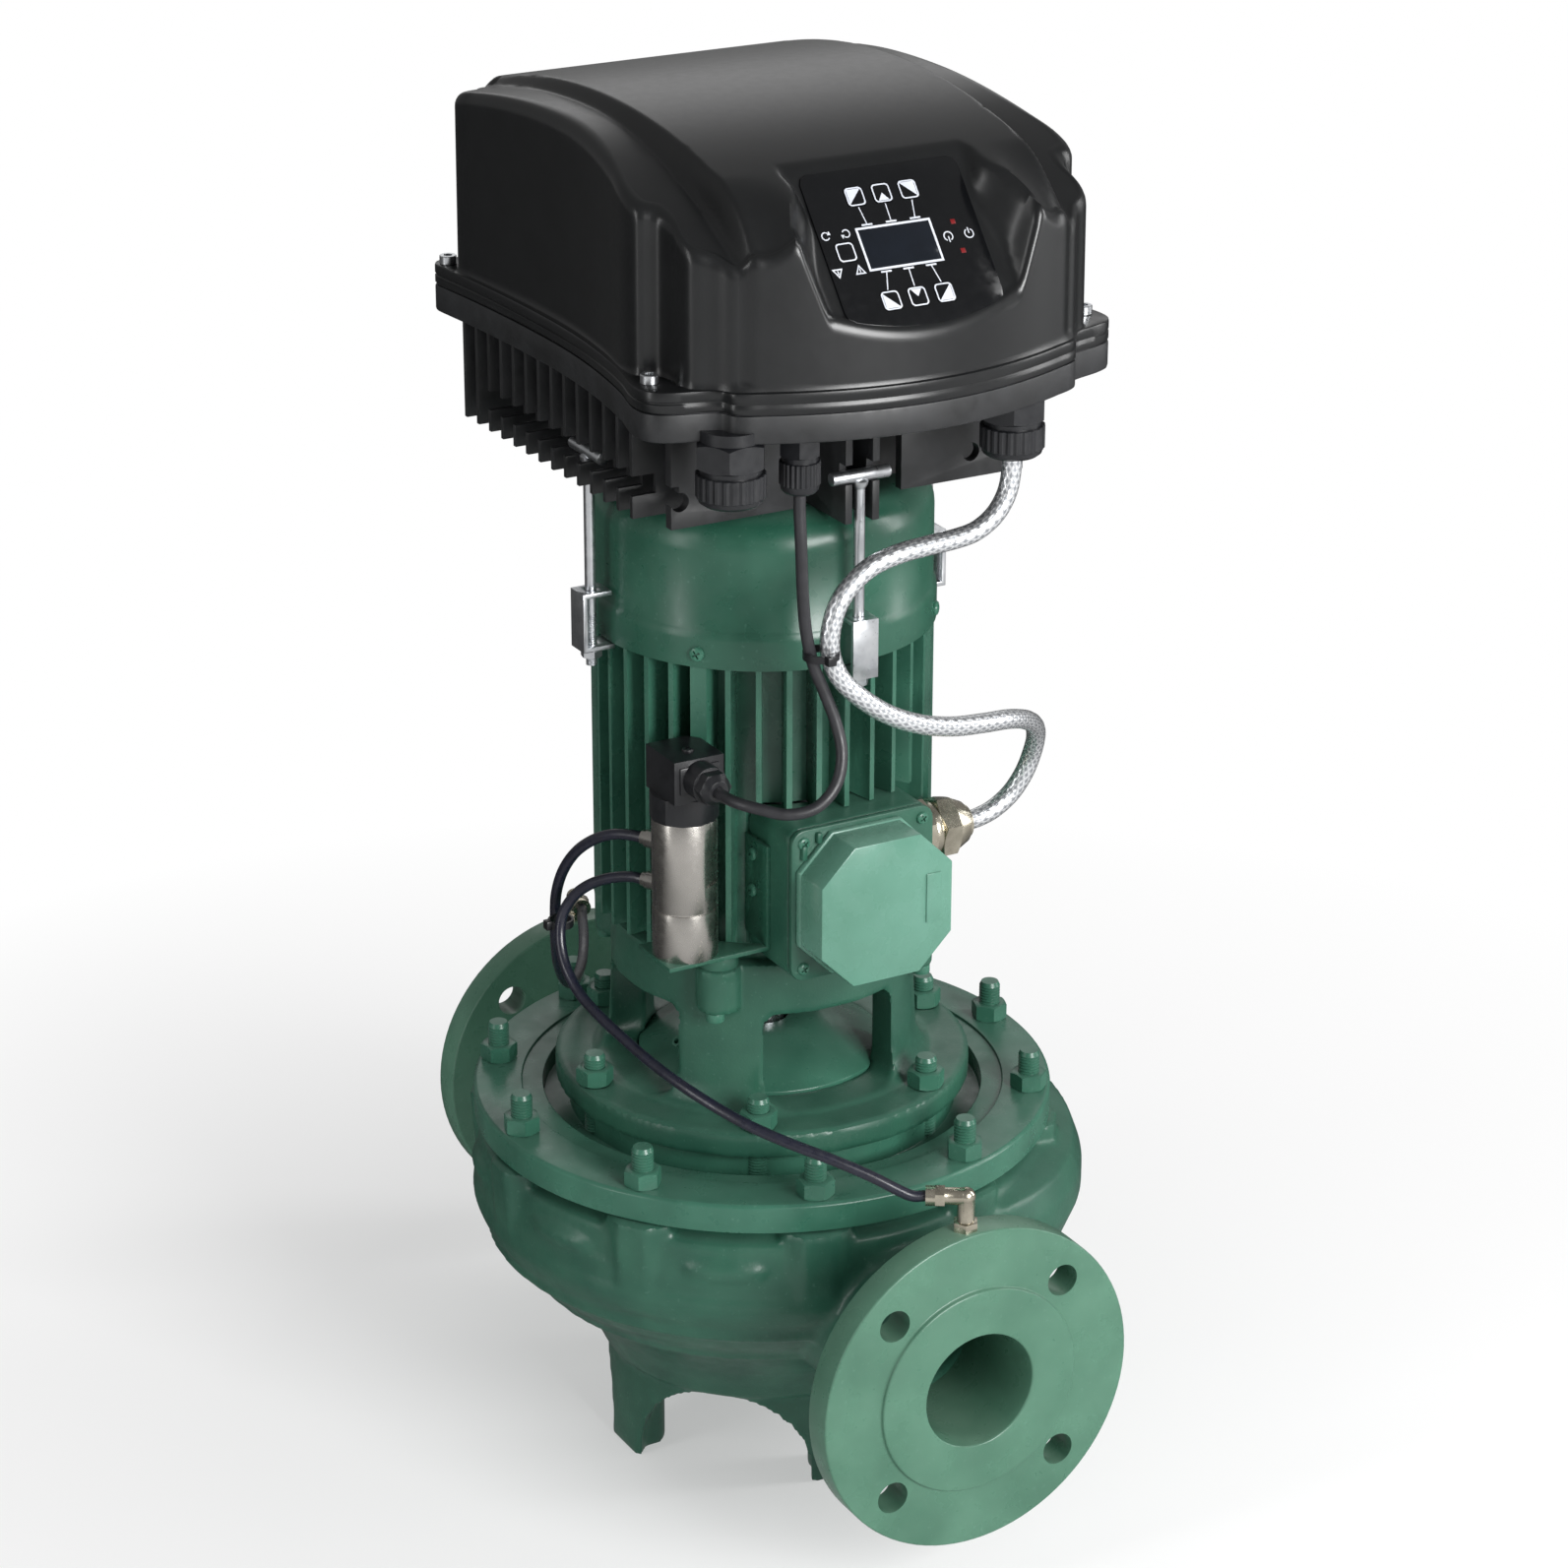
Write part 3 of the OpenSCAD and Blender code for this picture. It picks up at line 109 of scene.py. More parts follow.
def between(material, amount, low, high, start=0.3, end=0.7):
    """Turns a grey value into one from low to high."""
    return add(material, "MapRange", {
        "Value": amount, "From Min": start, "From Max": end, "To Min": low, "To Max": high,
    }).outputs["Result"]


def blend_colours(material, amount, first, second):
    """Mixes two colours, each a hex code or a socket."""
    colours = [linear(c) if isinstance(c, str) else c for c in (first, second)]
    inputs = {0: amount, 6: colours[0], 7: colours[1]}
    return add(material, "Mix", inputs, data_type="RGBA").outputs[2]


def bump(material, height, depth, strength=1.0, normal=None):
    """Relief of depth millimetres from a grey value."""
    inputs = {"Height": height, "Distance": depth * MM, "Strength": strength}
    if normal:
        inputs["Normal"] = normal
    return add(material, "Bump", inputs).outputs["Normal"]


# Hoses and cables: two black polyamide hoses from the sensor to the flanges, the sensor's
# round PVC lead, and a screened motor cable whose tinned braid shows through a clear sheath.
def even_route(points, spacing):
    """Points at even spacing, in metres, on a smooth curve through a route in millimetres."""
    route = [Vector(p) * MM for p in points]
    line = []
    for i in range(len(route) - 1):
        before = route[max(i - 1, 0)]
        after = route[min(i + 2, len(route) - 1)]
        pull_out = route[i] + (route[i + 1] - before) / 6
        pull_in = route[i + 1] - (after - route[i]) / 6
        line += interpolate_bezier(route[i], pull_out, pull_in, route[i + 1], 24)[:-1]
    line.append(route[-1])
    reach = [0.0]
    for a, b in zip(line, line[1:]):
        reach.append(reach[-1] + (b - a).length)
    count = round(reach[-1] / (spacing * MM))
    even = []
    at = 0
    for k in range(count + 1):
        goal = reach[-1] * k / count
        while at < len(line) - 2 and reach[at + 1] < goal:
            at += 1
        share = (goal - reach[at]) / (reach[at + 1] - reach[at])
        even.append(line[at].lerp(line[at + 1], min(1, share)))
    return even, reach[-1]


def cord(name, points, radius, material, nodes, spacing=2.0):
    """A round cord along a route, which replaces its CAD solid."""
    even, length = even_route(points, spacing)
    curve = bpy.data.curves.new(name, "CURVE")
    curve.dimensions = "3D"
    curve.bevel_depth = radius * MM
    curve.bevel_resolution = 6
    curve.use_fill_caps = True
    line = curve.splines.new("POLY")
    line.points.add(len(even) - 1)
    for point, place in zip(line.points, even):
        point.co = (*place, 1)
    line.use_smooth = True
    curve.materials.append(material)
    made = bpy.data.objects.new(name, curve)
    bpy.context.scene.collection.objects.link(made)
    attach(made, "frame")
    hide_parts(nodes)
    return made


# Extruded polyamide is smooth and shines a little, with a blue cast in the light.
hose_finish = finish("polyamide_hose", {"Roughness": 0.32, "IOR": 1.53, "Coat Weight": 0.15})
hose_wear = noise(hose_finish, 7)
feed(
    hose_finish,
    base_color=blend_colours(hose_finish, hose_wear, "#0c0e18", "#1b1c2c"),
    roughness=between(hose_finish, noise(hose_finish, 3), 0.24, 0.42),
    normal=bump(hose_finish, noise(hose_finish, 1.2), 0.03, 0.4),
)
# Soft PVC is matter than the hoses and holds dust.
lead_finish = finish("pvc_lead", {"Roughness": 0.45, "IOR": 1.52})
feed(
    lead_finish,
    base_color=blend_colours(lead_finish, noise(lead_finish, 9), "#17171a", "#26262a"),
    roughness=between(lead_finish, noise(lead_finish, 4), 0.36, 0.55),
    normal=bump(lead_finish, noise(lead_finish, 0.9), 0.04, 0.4),
)
front_hose = [
    (-98.5, -48, 372), (-102, -42, 372), (-108, -32, 369), (-115, -21, 363),
    (-121, -12, 354), (-126, -7, 342), (-129, -9, 329), (-130, -17, 316),
    (-129, -30, 306), (-127, -47, 300), (-124, -69, 295), (-120, -93, 290),
    (-114, -116, 285), (-105, -137, 279), (-94, -156, 273), (-80, -173, 267),
    (-63, -188, 260), (-47, -200, 252), (-34, -209, 244), (-28, -212.5, 241),
    (-22, -215, 241),
]
rear_hose = [
    (-98.5, -48, 396), (-102, -42, 396), (-108, -32, 394), (-114, -21, 388),
    (-119, -10, 378), (-122, 0, 364), (-123, 7, 348), (-121, 13, 330),
    (-117, 21, 312), (-110, 33, 293), (-99, 49, 275), (-84, 70, 260),
    (-68, 94, 252), (-53, 118, 249), (-40, 142, 249), (-29, 165, 247),
    (-20, 184, 242), (-13, 198, 237), (-8, 208, 236),
]
signal_cable = [
    (-56, -140, 608), (-56, -140, 598), (-55, -140, 577), (-53, -138, 555),
    (-50, -136, 533), (-45, -135, 513), (-39, -136, 497), (-34, -139, 481),
    (-33, -144, 465), (-39, -149, 451), (-51, -150, 441), (-65, -145, 438),
    (-77, -135, 440), (-84, -124, 441), (-85.5, -114, 441), (-85.5, -109, 441),
]
power_cable = [
    (68, -140, 608), (68, -140, 600), (65.5, -140, 588), (58.5, -140, 577.5),
    (48, -139.5, 570.5), (36, -139, 568), (19, -139, 567), (2, -139, 565.5),
    (-13, -138, 561), (-24, -137, 553), (-32, -137, 543), (-36, -137, 530),
    (-36, -137, 517), (-31, -138, 504), (-20, -140, 492), (-4, -141, 480),
    (15, -141, 471), (36, -139, 465), (58, -134, 461), (78, -127, 457),
    (95, -117, 450), (107, -107, 441), (114, -98, 430), (116, -91, 417),
    (113, -88, 405), (106, -86, 394), (95, -86, 387), (84, -86, 384),
    (78, -86, 384),
]
cord("front_hose_tube", front_hose, 3, hose_finish, "front_hose")
cord("rear_hose_tube", rear_hose, 3, hose_finish, "rear_hose")
cord("signal_lead", signal_cable, 3.15, lead_finish, "signal_cable")

# Bands of bright wires cross in the braid, with dull gaps between. The pattern repeats every
# 6.5 mm along the cable and ten times round it. The sheath over it is smooth and clear.
braid_length = even_route(power_cable, 2.0)[1] / MM
braid_pitch = 6.5
braid_ends = 10
braid_finish = finish("tinned_braid", {
    "Metallic": 0.85, "Roughness": 0.28, "Coat Weight": 1.0, "Coat Roughness": 0.08,
})
braid_place = add(braid_finish, "SeparateXYZ", {
    "Vector": add(braid_finish, "TexCoord").outputs["UV"],
}).outputs
along = add(braid_finish, "Math", {
    0: braid_place["X"], 1: 2 * pi * braid_length / braid_pitch,
}, operation="MULTIPLY").outputs[0]
round_it = add(braid_finish, "Math", {
    0: braid_place["Y"], 1: 2 * pi * braid_ends,
}, operation="MULTIPLY").outputs[0]


def braid_wave(operation):
    """One set of the braid's strands, which run one way round the cable."""
    turn = add(braid_finish, "Math", {0: round_it, 1: along}, operation=operation).outputs[0]
    wave = add(braid_finish, "Math", {0: turn}, operation="SINE").outputs[0]
    return between(braid_finish, wave, 0, 1, -1, 1)


both_ways = {0: braid_wave("ADD"), 1: braid_wave("SUBTRACT")}
strands = add(braid_finish, "Math", both_ways, operation="MULTIPLY").outputs[0]
crossing = add(braid_finish, "Math", both_ways, operation="MAXIMUM").outputs[0]
braid_grey = blend_colours(
    braid_finish, between(braid_finish, crossing, 0, 1, 0.35, 0.95), "#9da0a5", "#f0f2f4"
)
feed(
    braid_finish, base_color=braid_grey,
    roughness=between(braid_finish, strands, 0.42, 0.16, 0, 1),
    normal=bump(braid_finish, strands, 0.18, 0.7),
)
cord("motor_cable", power_cable, 5.25, braid_finish, "power_cable")


def bare():
    """An empty mesh that a piece is built in."""
    return bmesh.new()


def closed(bm):
    """Merges doubles and turns the faces outwards."""
    bmesh.ops.remove_doubles(bm, verts=bm.verts, dist=1e-6)
    bmesh.ops.recalc_face_normals(bm, faces=bm.faces)
    return bm


def spun(profile, steps=96):
    """A closed shell turned round Z from a profile of (radius, height) in millimetres."""
    bm = bare()
    line = [bm.verts.new((r * MM, 0, z * MM)) for r, z in profile]
    edges = [bm.edges.new(pair) for pair in zip(line, line[1:])]
    if profile[0][0] > 0:
        edges.append(bm.edges.new((line[-1], line[0])))
    bmesh.ops.spin(
        bm, geom=line + edges, cent=(0, 0, 0), axis=(0, 0, 1), angle=2 * pi, steps=steps,
        use_merge=True,
    )
    return closed(bm)


def pin(radius, low, high, steps=96):
    """A cylinder on Z from low to high, in millimetres."""
    return spun([(0, low), (radius, low), (radius, high), (0, high)], steps)


def tube(bore, radius, low, high, steps=96):
    """A plain tube on Z from low to high, in millimetres."""
    return spun([(bore, low), (radius, low), (radius, high), (bore, high)], steps)


def ball(radius, steps=32):
    """A ball at the centre, in millimetres."""
    arc = [radians(a) for a in range(0, 181, 15)]
    return spun([(radius * sin(a), -radius * cos(a)) for a in arc], steps)


def prism(outline, low, high):
    """An outline in X and Y, in millimetres, extruded from low to high."""
    bm = bare()
    face = bm.faces.new([bm.verts.new((x * MM, y * MM, low * MM)) for x, y in outline])
    grown = bmesh.ops.extrude_face_region(bm, geom=[face])["geom"]
    top = [v for v in grown if isinstance(v, bmesh.types.BMVert)]
    bmesh.ops.translate(bm, verts=top, vec=(0, 0, (high - low) * MM))
    return closed(bm)


def block(low, high):
    """A box from its low corner to its high corner, in millimetres."""
    (x0, y0, z0), (x1, y1, z1) = low, high
    return prism([(x0, y0), (x1, y0), (x1, y1), (x0, y1)], z0, z1)


def eased(bm, width, segments=2, angle=30):
    """Rounds every edge that is sharper than an angle."""
    joints = [e for e in bm.edges if len(e.link_faces) == 2]
    bmesh.ops.bevel(
        bm, geom=[e for e in joints if e.calc_face_angle(0) > radians(angle)],
        offset=width * MM, offset_type="OFFSET", segments=segments, profile=0.5,
        affect="EDGES", material=-1, clamp_overlap=True,
    )
    return bm


def at(x, y, z):
    """A place in millimetres."""
    return Matrix.Translation((x * MM, y * MM, z * MM))


def turn(angle, axis="Z"):
    """A turn in degrees about an axis."""
    return Matrix.Rotation(radians(angle), 4, axis)


def placed(bm, *moves):
    """Moves a shell by the product of some turns and places."""
    whole = Matrix.Identity(4)
    for move in moves:
        whole = whole @ move
    bmesh.ops.transform(bm, matrix=whole, verts=bm.verts)
    return bm


def joined(parts):
    """Several shells in one mesh."""
    whole = bare()
    for part in parts:
        mesh = bpy.data.meshes.new("part")
        part.to_mesh(mesh)
        part.free()
        whole.from_mesh(mesh)
        bpy.data.meshes.remove(mesh)
    return whole


def stocked(bm):
    """A loose object that holds a shell while modifiers work on it."""
    mesh = bpy.data.meshes.new("stock")
    bm.to_mesh(mesh)
    bm.free()
    made = bpy.data.objects.new("stock", mesh)
    bpy.context.scene.collection.objects.link(made)
    return made


def worked(made):
    """The mesh that an object's modifiers leave, and the object is taken away."""
    bpy.context.view_layer.update()
    ready = made.evaluated_get(bpy.context.evaluated_depsgraph_get())
    mesh = bpy.data.meshes.new_from_object(ready)
    bm = bare()
    bm.from_mesh(mesh)
    bpy.data.objects.remove(made)
    bpy.data.meshes.remove(mesh)
    return bm


def cast(bm, grain, rounds=5):
    """Fuses closed shells and rounds their corners, as on a sand casting."""
    made = stocked(bm)
    fuse = made.modifiers.new("fuse", "REMESH")
    fuse.mode = "VOXEL"
    fuse.voxel_size = grain * MM
    soften = made.modifiers.new("soften", "SMOOTH")
    soften.factor = 0.5
    soften.iterations = rounds
    return worked(made)


def cut(bm, tool, operation="DIFFERENCE"):
    """Takes the tool's shape out of a shell."""
    made = stocked(bm)
    blade = stocked(tool)
    drill = made.modifiers.new("drill", "BOOLEAN")
    drill.operation = operation
    drill.object = blade
    drill.solver = "EXACT"
    drill.use_self = True
    done = worked(made)
    bpy.data.objects.remove(blade)
    return done


def copied(node):
    """A merged copy of a CAD piece's mesh, with whole faces in place of its triangles."""
    bm = bare()
    bm.from_mesh(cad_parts[node].data)
    bmesh.ops.remove_doubles(bm, verts=bm.verts, dist=2e-6)
    bmesh.ops.dissolve_limit(
        bm, angle_limit=radians(0.6), use_dissolve_boundaries=False, verts=bm.verts, edges=bm.edges
    )
    return bm


def piece(name, bm, material, nodes=(), body="frame", smooth=32):
    """Makes a shell into a finished piece that rides on a body and stands for CAD nodes."""
    for face in bm.faces:
        face.smooth = True
    for edge in bm.edges:
        if len(edge.link_faces) == 2 and edge.calc_face_angle(0) > radians(smooth):
            edge.smooth = False
    mesh = bpy.data.meshes.new(name)
    bm.to_mesh(mesh)
    bm.free()
    mesh.materials.append(material)
    made = bpy.data.objects.new(name, mesh)
    bpy.context.scene.collection.objects.link(made)
    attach(made, body)
    if nodes:
        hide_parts(*([nodes] if isinstance(nodes, str) else nodes))
    return made


def softened(name, node, width, material):
    """A piece with the CAD node's shape and rounded edges."""
    return piece(name, eased(copied(node), width), material, node)


def dress(material, *nodes):
    """Gives CAD pieces whose shape is right a finish of their own."""
    for name in nodes:
        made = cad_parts[name]
        made.data.materials.clear()
        made.data.materials.append(material)


# Volute casing: grey cast iron, sand cast in one piece with both flanges and a hollow foot,
# then sprayed green. The flanges and the joint face are machined, so their edges are crisp.
def paint(name, grain, depth, gloss, deep="#20483a", pale="#2b5645", upward_colour="#56786a"):
    """Green enamel over a casting or a sheet: grain in millimetres, depth of its relief."""
    made = finish(name, {"IOR": 1.42, "Coat Weight": 0.12, "Coat Roughness": 0.25})
    # Faces that look up turn paler and greyer, in patches.
    facing = add(made, "SeparateXYZ", {
        "Vector": add(made, "TexCoord").outputs["Normal"],
    }).outputs["Z"]
    upward_share = add(made, "Math", {
        0: between(made, facing, 0, 0.5, 0.75, 1.0), 1: noise(made, 24, 4),
    }, operation="MULTIPLY").outputs[0]
    mottled = blend_colours(made, between(made, noise(made, 35, 3), 0, 1), deep, pale)
    paled_upwards = blend_colours(made, upward_share, mottled, upward_colour)
    specks = between(made, noise(made, 2.6, 2), 0, 0.14, 0.66, 0.74)
    feed(
        made,
        base_color=blend_colours(made, specks, paled_upwards, "#6d9182"),
        roughness=between(made, noise(made, 11, 3), gloss - 0.06, gloss + 0.08),
        normal=bump(
            made, noise(made, grain, 4, roughness=0.6), depth, 0.8,
            bump(made, noise(made, 9, 2), 1.3 * depth, 0.35),
        ),
    )
    return made


# Paint over sand-cast iron keeps the sand's grain. Over machined and pressed faces it is
# smooth with a little orange peel.
cast_paint = paint("enamel_on_cast_iron", 1.6, 0.16, 0.36)
smooth_paint = paint("enamel_on_machined_iron", 3.2, 0.05, 0.3, "#2a5545", "#366553")
fin_paint = paint("enamel_on_aluminium", 2.2, 0.08, 0.3, "#2a5344", "#35604f")
sheet_paint = paint("enamel_on_sheet", 4.0, 0.03, 0.3, "#1d4637", "#275141")
# Flange faces: a lighter copy of the enamel, painted light for the key lamp's light and reflection
# on these forward faces.
face_paint_with_painted_light = paint("enamel_on_flange_faces_with_painted_light", 3.2, 0.05, 0.3, "#3d6250", "#496f5c", "#76917f")
# Octagonal cover: a lighter copy of the enamel, painted light for the light and reflection on its
# smooth front.
lid_paint_with_painted_light = paint("enamel_on_moulded_lid_with_painted_light", 3.0, 0.04, 0.26, "#4a7463", "#568070", "#7fa191")

floor_gap = 57
foot_r = 91
boss_r = 11
boss_circle = 76
joint_z = 198.2
port_z = 130
port_r = 32.5
neck_r = 46
flange_r = 92.5
half_face = 237.5  # from the shaft to a flange's raised face
flange_back = 217
raised_r = 59


def rise(value, low, high):
    """Goes smoothly from 0 to 1."""
    t = min(1, max(0, (value - low) / (high - low)))
    return t * t * (3 - 2 * t)


bowl = spun([
    (0, floor_gap), (91.7, 57), (96.7, 67.8), (103, 78.6), (111.8, 89.4), (121.9, 99.1),
    (133.2, 108.8), (144.6, 119.6), (153.4, 130.4), (161, 143.4), (164, 151), (163.4, 156),
    (160.4, 158.6), (160.4, 172), (159.6, 187), (158, 189.6), (148, 191.5), (148, joint_z),
    (0, joint_z),
])
# The volute swells out round the right side, towards the outlet.
swell = spun([
    (0, 110), (124, 110), (153, 132), (162, 154), (162, 168), (157, 182), (141, 188), (0, 188),
], 144)
for vert in swell.verts:
    r = sqrt(vert.co.x ** 2 + vert.co.y ** 2)
    angle = degrees(atan2(vert.co.y, vert.co.x)) % 360
    spread = rise(angle, 258, 322) if angle > 180 else 1 - rise(angle, 30, 150)
    if r > 0.1:
        vert.co.x *= 1 + 0.019 * spread / r
        vert.co.y *= 1 + 0.019 * spread / r
# Two soft beads run round the underside, where the core box parts.
beads = [
    spun([(r + 3.2 * cos(radians(a)), z + 3.2 * sin(radians(a))) for a in range(0, 360, 45)])
    for r, z in ((154, 131.5), (131, 107.5))
]
foot = cut(
    spun([
        (foot_r - 13, 0), (foot_r, 0), (foot_r - 2.6, floor_gap), (foot_r + 6, floor_gap + 12),
        (foot_r - 13, floor_gap + 12),
    ]),
    joined([
        placed(
            pin(50, 0, 70, 64),
            turn(a), at(50, 0, floor_gap - 51), turn(90, "Y"),
        )
        for a in (45, 135, 225, 315)
    ]),
)
bolt_bosses = [
    placed(pin(boss_r, 0, floor_gap + 4, 32), turn(a), at(boss_circle, 0, 0))
    for a in (0, 90, 180, 270)
]


def pad():
    """A stud pad: a flat face with slanted cheeks that dies away into the bowl."""
    outline = [(120, -21), (157, -19), (166.2, -8.5), (166.2, 8.5), (157, 19), (120, 21)]
    made = prism(outline, 138, joint_z - 0.8)
    for vert in made.verts:
        if vert.co.z < 0.14 and vert.co.x > 0.16:
            vert.co.x -= 0.004
            vert.co.z += 0.006
    return made


pads = [placed(pad(), turn(36 * i)) for i in range(10)]
# Between the pads the core leaves a lens-shaped swelling in the wall.
lenses = [
    placed(
        ball(20),
        turn(36 * i + 18), at(156.5, 0, 174), Matrix.Diagonal((0.42, 1.25, 0.4, 1)),
    )
    for i in range(10)
]
necks = [
    placed(
        spun([
            (0, 90), (neck_r + 4, 90), (neck_r + 4, 110), (neck_r + 2, 150), (neck_r, 165),
            (neck_r + 1, 204), (neck_r + 8, flange_back + 2), (0, flange_back + 2),
        ]),
        at(0, 0, port_z), turn(side, "X"),
    )
    for side in (90, -90)
]
waterway = joined([
    placed(
        spun([(0, 168), (port_r + 1.5, 172), (port_r + 1.5, 260), (0, 260)], 64),
        at(0, 0, port_z), turn(side, "X"),
    )
    for side in (90, -90)
] + [
    placed(
        ball(port_r + 0.5), at(0, side * 168, port_z + 2),
    )
    for side in (-1, 1)
])
body = cut(
    joined([bowl, swell, foot] + beads + pads + lenses + necks + bolt_bosses),
    waterway,
)


def flange():
    """One flange with its raised face, four bolt holes and the start of the port."""
    bolt_circle = 72.5
    bolt_r = 9
    disc = eased(
        spun([
            (port_r, 168), (port_r, half_face), (raised_r, half_face), (raised_r, half_face - 2.5),
            (flange_r, half_face - 2.5), (flange_r, flange_back), (neck_r - 2, flange_back),
            (neck_r - 2, 168),
        ]),
        1.2, 3,
    )
    holes = joined([
        placed(pin(bolt_r, 200, 250, 32), turn(a), at(bolt_circle, 0, 0))
        for a in (45, 135, 225, 315)
    ])
    return cut(disc, holes)


flanges = [placed(flange(), at(0, 0, port_z), turn(side, "X")) for side in (90, -90)]
casing = cast(body, 2.3, 3)
piece("volute_casting", casing, cast_paint, "volute_casing")
piece("flange_faces", joined(flanges), face_paint_with_painted_light)

# Casing cover: a turned cast-iron plate that closes the casing, with the seal's dome in its
# middle. It is painted with the casing, and its outer face is machined for the nuts.
ring_top = 215
seat_z = 219.4
cover_plate = spun([
    (14.5, 252), (34, 252), (69, 236), (69, seat_z), (108, seat_z), (108, 203), (123, 203),
    (123, 213.4), (135, 213.4), (135, ring_top), (160.4, ring_top), (162, ring_top - 1.6),
    (162, 198.7), (117.9, 198.7), (117.9, 180), (24, 180), (24, 244), (14.5, 244),
], 144)
piece("cover_plate", eased(cover_plate, 0.6, 3), smooth_paint, "casing_cover")
# The joint under the cover is a thin ring of pressed fibre.
fibre = finish("gasket_fibre", {"Roughness": 0.85})
feed(
    fibre,
    base_color=blend_colours(fibre, noise(fibre, 1.5), "#3c4a45", "#55645e"),
    normal=bump(fibre, noise(fibre, 0.6), 0.05),
)
dress(fibre, "casing_gasket")


# Studs and nuts: M12 steel studs with rolled threads and hexagon nuts with chamfered
# corners, all under the same paint as the casing.
def threaded(radius, low, high, pitch):
    """A stud with thread rings and a chamfered tip."""
    line = [(0, low), (radius, low)]
    turns = int((high - low - 0.2 * radius) / pitch)
    for i in range(turns):
        foot = low + pitch * i
        line += [
            (radius, foot + 0.15 * pitch), (radius * 0.87, foot + 0.45 * pitch),
            (radius * 0.87, foot + 0.6 * pitch), (radius, foot + 0.9 * pitch),
        ]
    return spun(line + [(radius * 0.82, high), (0, high)], 28)


def nut(corner, height, bore):
    """A hexagon nut with chamfered corners on both faces."""
    flat = corner * cos(radians(30)) * 0.985
    slant = (corner - flat) * 0.6
    hexagon = [(corner * cos(radians(60 * i)), corner * sin(radians(60 * i))) for i in range(6)]
    rounding = spun([
        (bore, 0), (flat, 0), (corner + 0.5, slant + 0.3), (corner + 0.5, height - slant - 0.3),
        (flat, height), (bore, height),
    ], 48)
    return cut(prism(hexagon, -1, height + 1), rounding, "INTERSECT")


def repeated(bm, moves):
    """One shell's copies, each put in its own place."""
    copies = [placed(bm.copy(), move) for move in moves]
    bm.free()
    return joined(copies)


stud_r = 6
thread_pitch = 1.75
nut_corner = 10.39
nut_height = 9.5
stool_top = 233.8
ring_places = [turn(36 * i) @ at(150, 0, 0) for i in range(10)]
stool_places = [turn(60 * i) @ at(105, 0, 0) for i in range(6)]
studs = joined([
    repeated(threaded(stud_r, 179.2, 237.5, thread_pitch), ring_places),
    repeated(threaded(stud_r, 205.4, 251.3, thread_pitch), stool_places),
])
piece("stud_set", studs, smooth_paint, "flange_studs", smooth=40)
nuts = joined([
    repeated(
        nut(nut_corner, nut_height, stud_r + 0.03),
        [at(0, 0, seat) @ place @ turn(angle) for place in places],
    )
    for seat, places, angle in ((ring_top, ring_places, 14), (stool_top, stool_places, 41))
])
piece("nut_set", nuts, smooth_paint, "flange_nuts")

# Vent fitting: a small steel plug with a hexagon and a slanted nipple. It is screwed into
# the seal's dome and painted over with it.
softened("vent", "vent_fitting", 0.3, smooth_paint)

# Lantern: a grey iron casting with a flange, four legs and a lug over each leg for the
# motor's screws. The lugs die away downwards, and the sand's grain shows in the paint.
lantern_top = 319.5


def lug():
    """A lug with flat sides and a foot that slopes back into its leg."""
    made = prism([(74, -12), (92, -12), (97, -7), (97, 7), (92, 12), (74, 12)], 279, lantern_top)
    for vert in made.verts:
        if vert.co.z < 0.3:
            vert.co.z += 0.35 * max(0, vert.co.x - 0.076)
            vert.co.x = min(vert.co.x, 0.083)
            vert.co.y *= 0.35
    return made


lantern_shell = joined([copied("lantern")] + [placed(lug(), turn(a)) for a in (45, 135, 225, 315)])
piece("lantern_casting", cast(lantern_shell, 2.0, 4), cast_paint, "lantern")

# Drive-end shield: an iron casting with the lower bearing in its cone. The lantern's four
# screws pull it down from below.
softened("drive_shield", "drive_end_shield", 0.6, cast_paint)

# Motor housing: die-cast aluminium with 36 cooling fins, an earth lug and four wide ribs
# for the cowl's screws. It has the same paint, paler and greyer in patches on faces that look up.
softened("finned_housing", "motor_housing", 0.55, fin_paint)
softened("fan_shield", "fan_end_shield", 0.5, cast_paint)

# Fan cowl: a pressed steel cap with a wide hem, a rolled shoulder and a round grille in
# its crown. The paint on it is smooth.
motor_top = 491
cowl_top = 573


def cowl_line(inset):
    """The cowl's half section, moved inwards."""
    r = 94 - inset
    shoulder = cowl_top - 19 - inset / 2
    height = cowl_top - inset - shoulder
    arc = [
        (r - 22 + 20 * cos(radians(a)), shoulder + height * sin(radians(a)))
        for a in range(10, 91, 10)
    ]
    return [
        (r, motor_top + 0.4), (r, motor_top + 15.6), (r - 0.5, motor_top + 18.5),
        (r - 1.4, motor_top + 20.4), (r - 2, motor_top + 21.4), (r - 2, shoulder),
    ] + arc


cowl = spun([(0, cowl_top - 2)] + cowl_line(2)[::-1] + cowl_line(0) + [(0, cowl_top)], 160)
grille = joined([
    placed(pin(4.5, cowl_top - 12, cowl_top + 2, 20), turn(360 * i / count), at(pitch, 0, 0))
    for pitch, count in ((26, 10), (42, 16), (58, 22)) for i in range(count)
])
piece("cowl_pressing", cut(cowl, grille), sheet_paint, "fan_cowl")


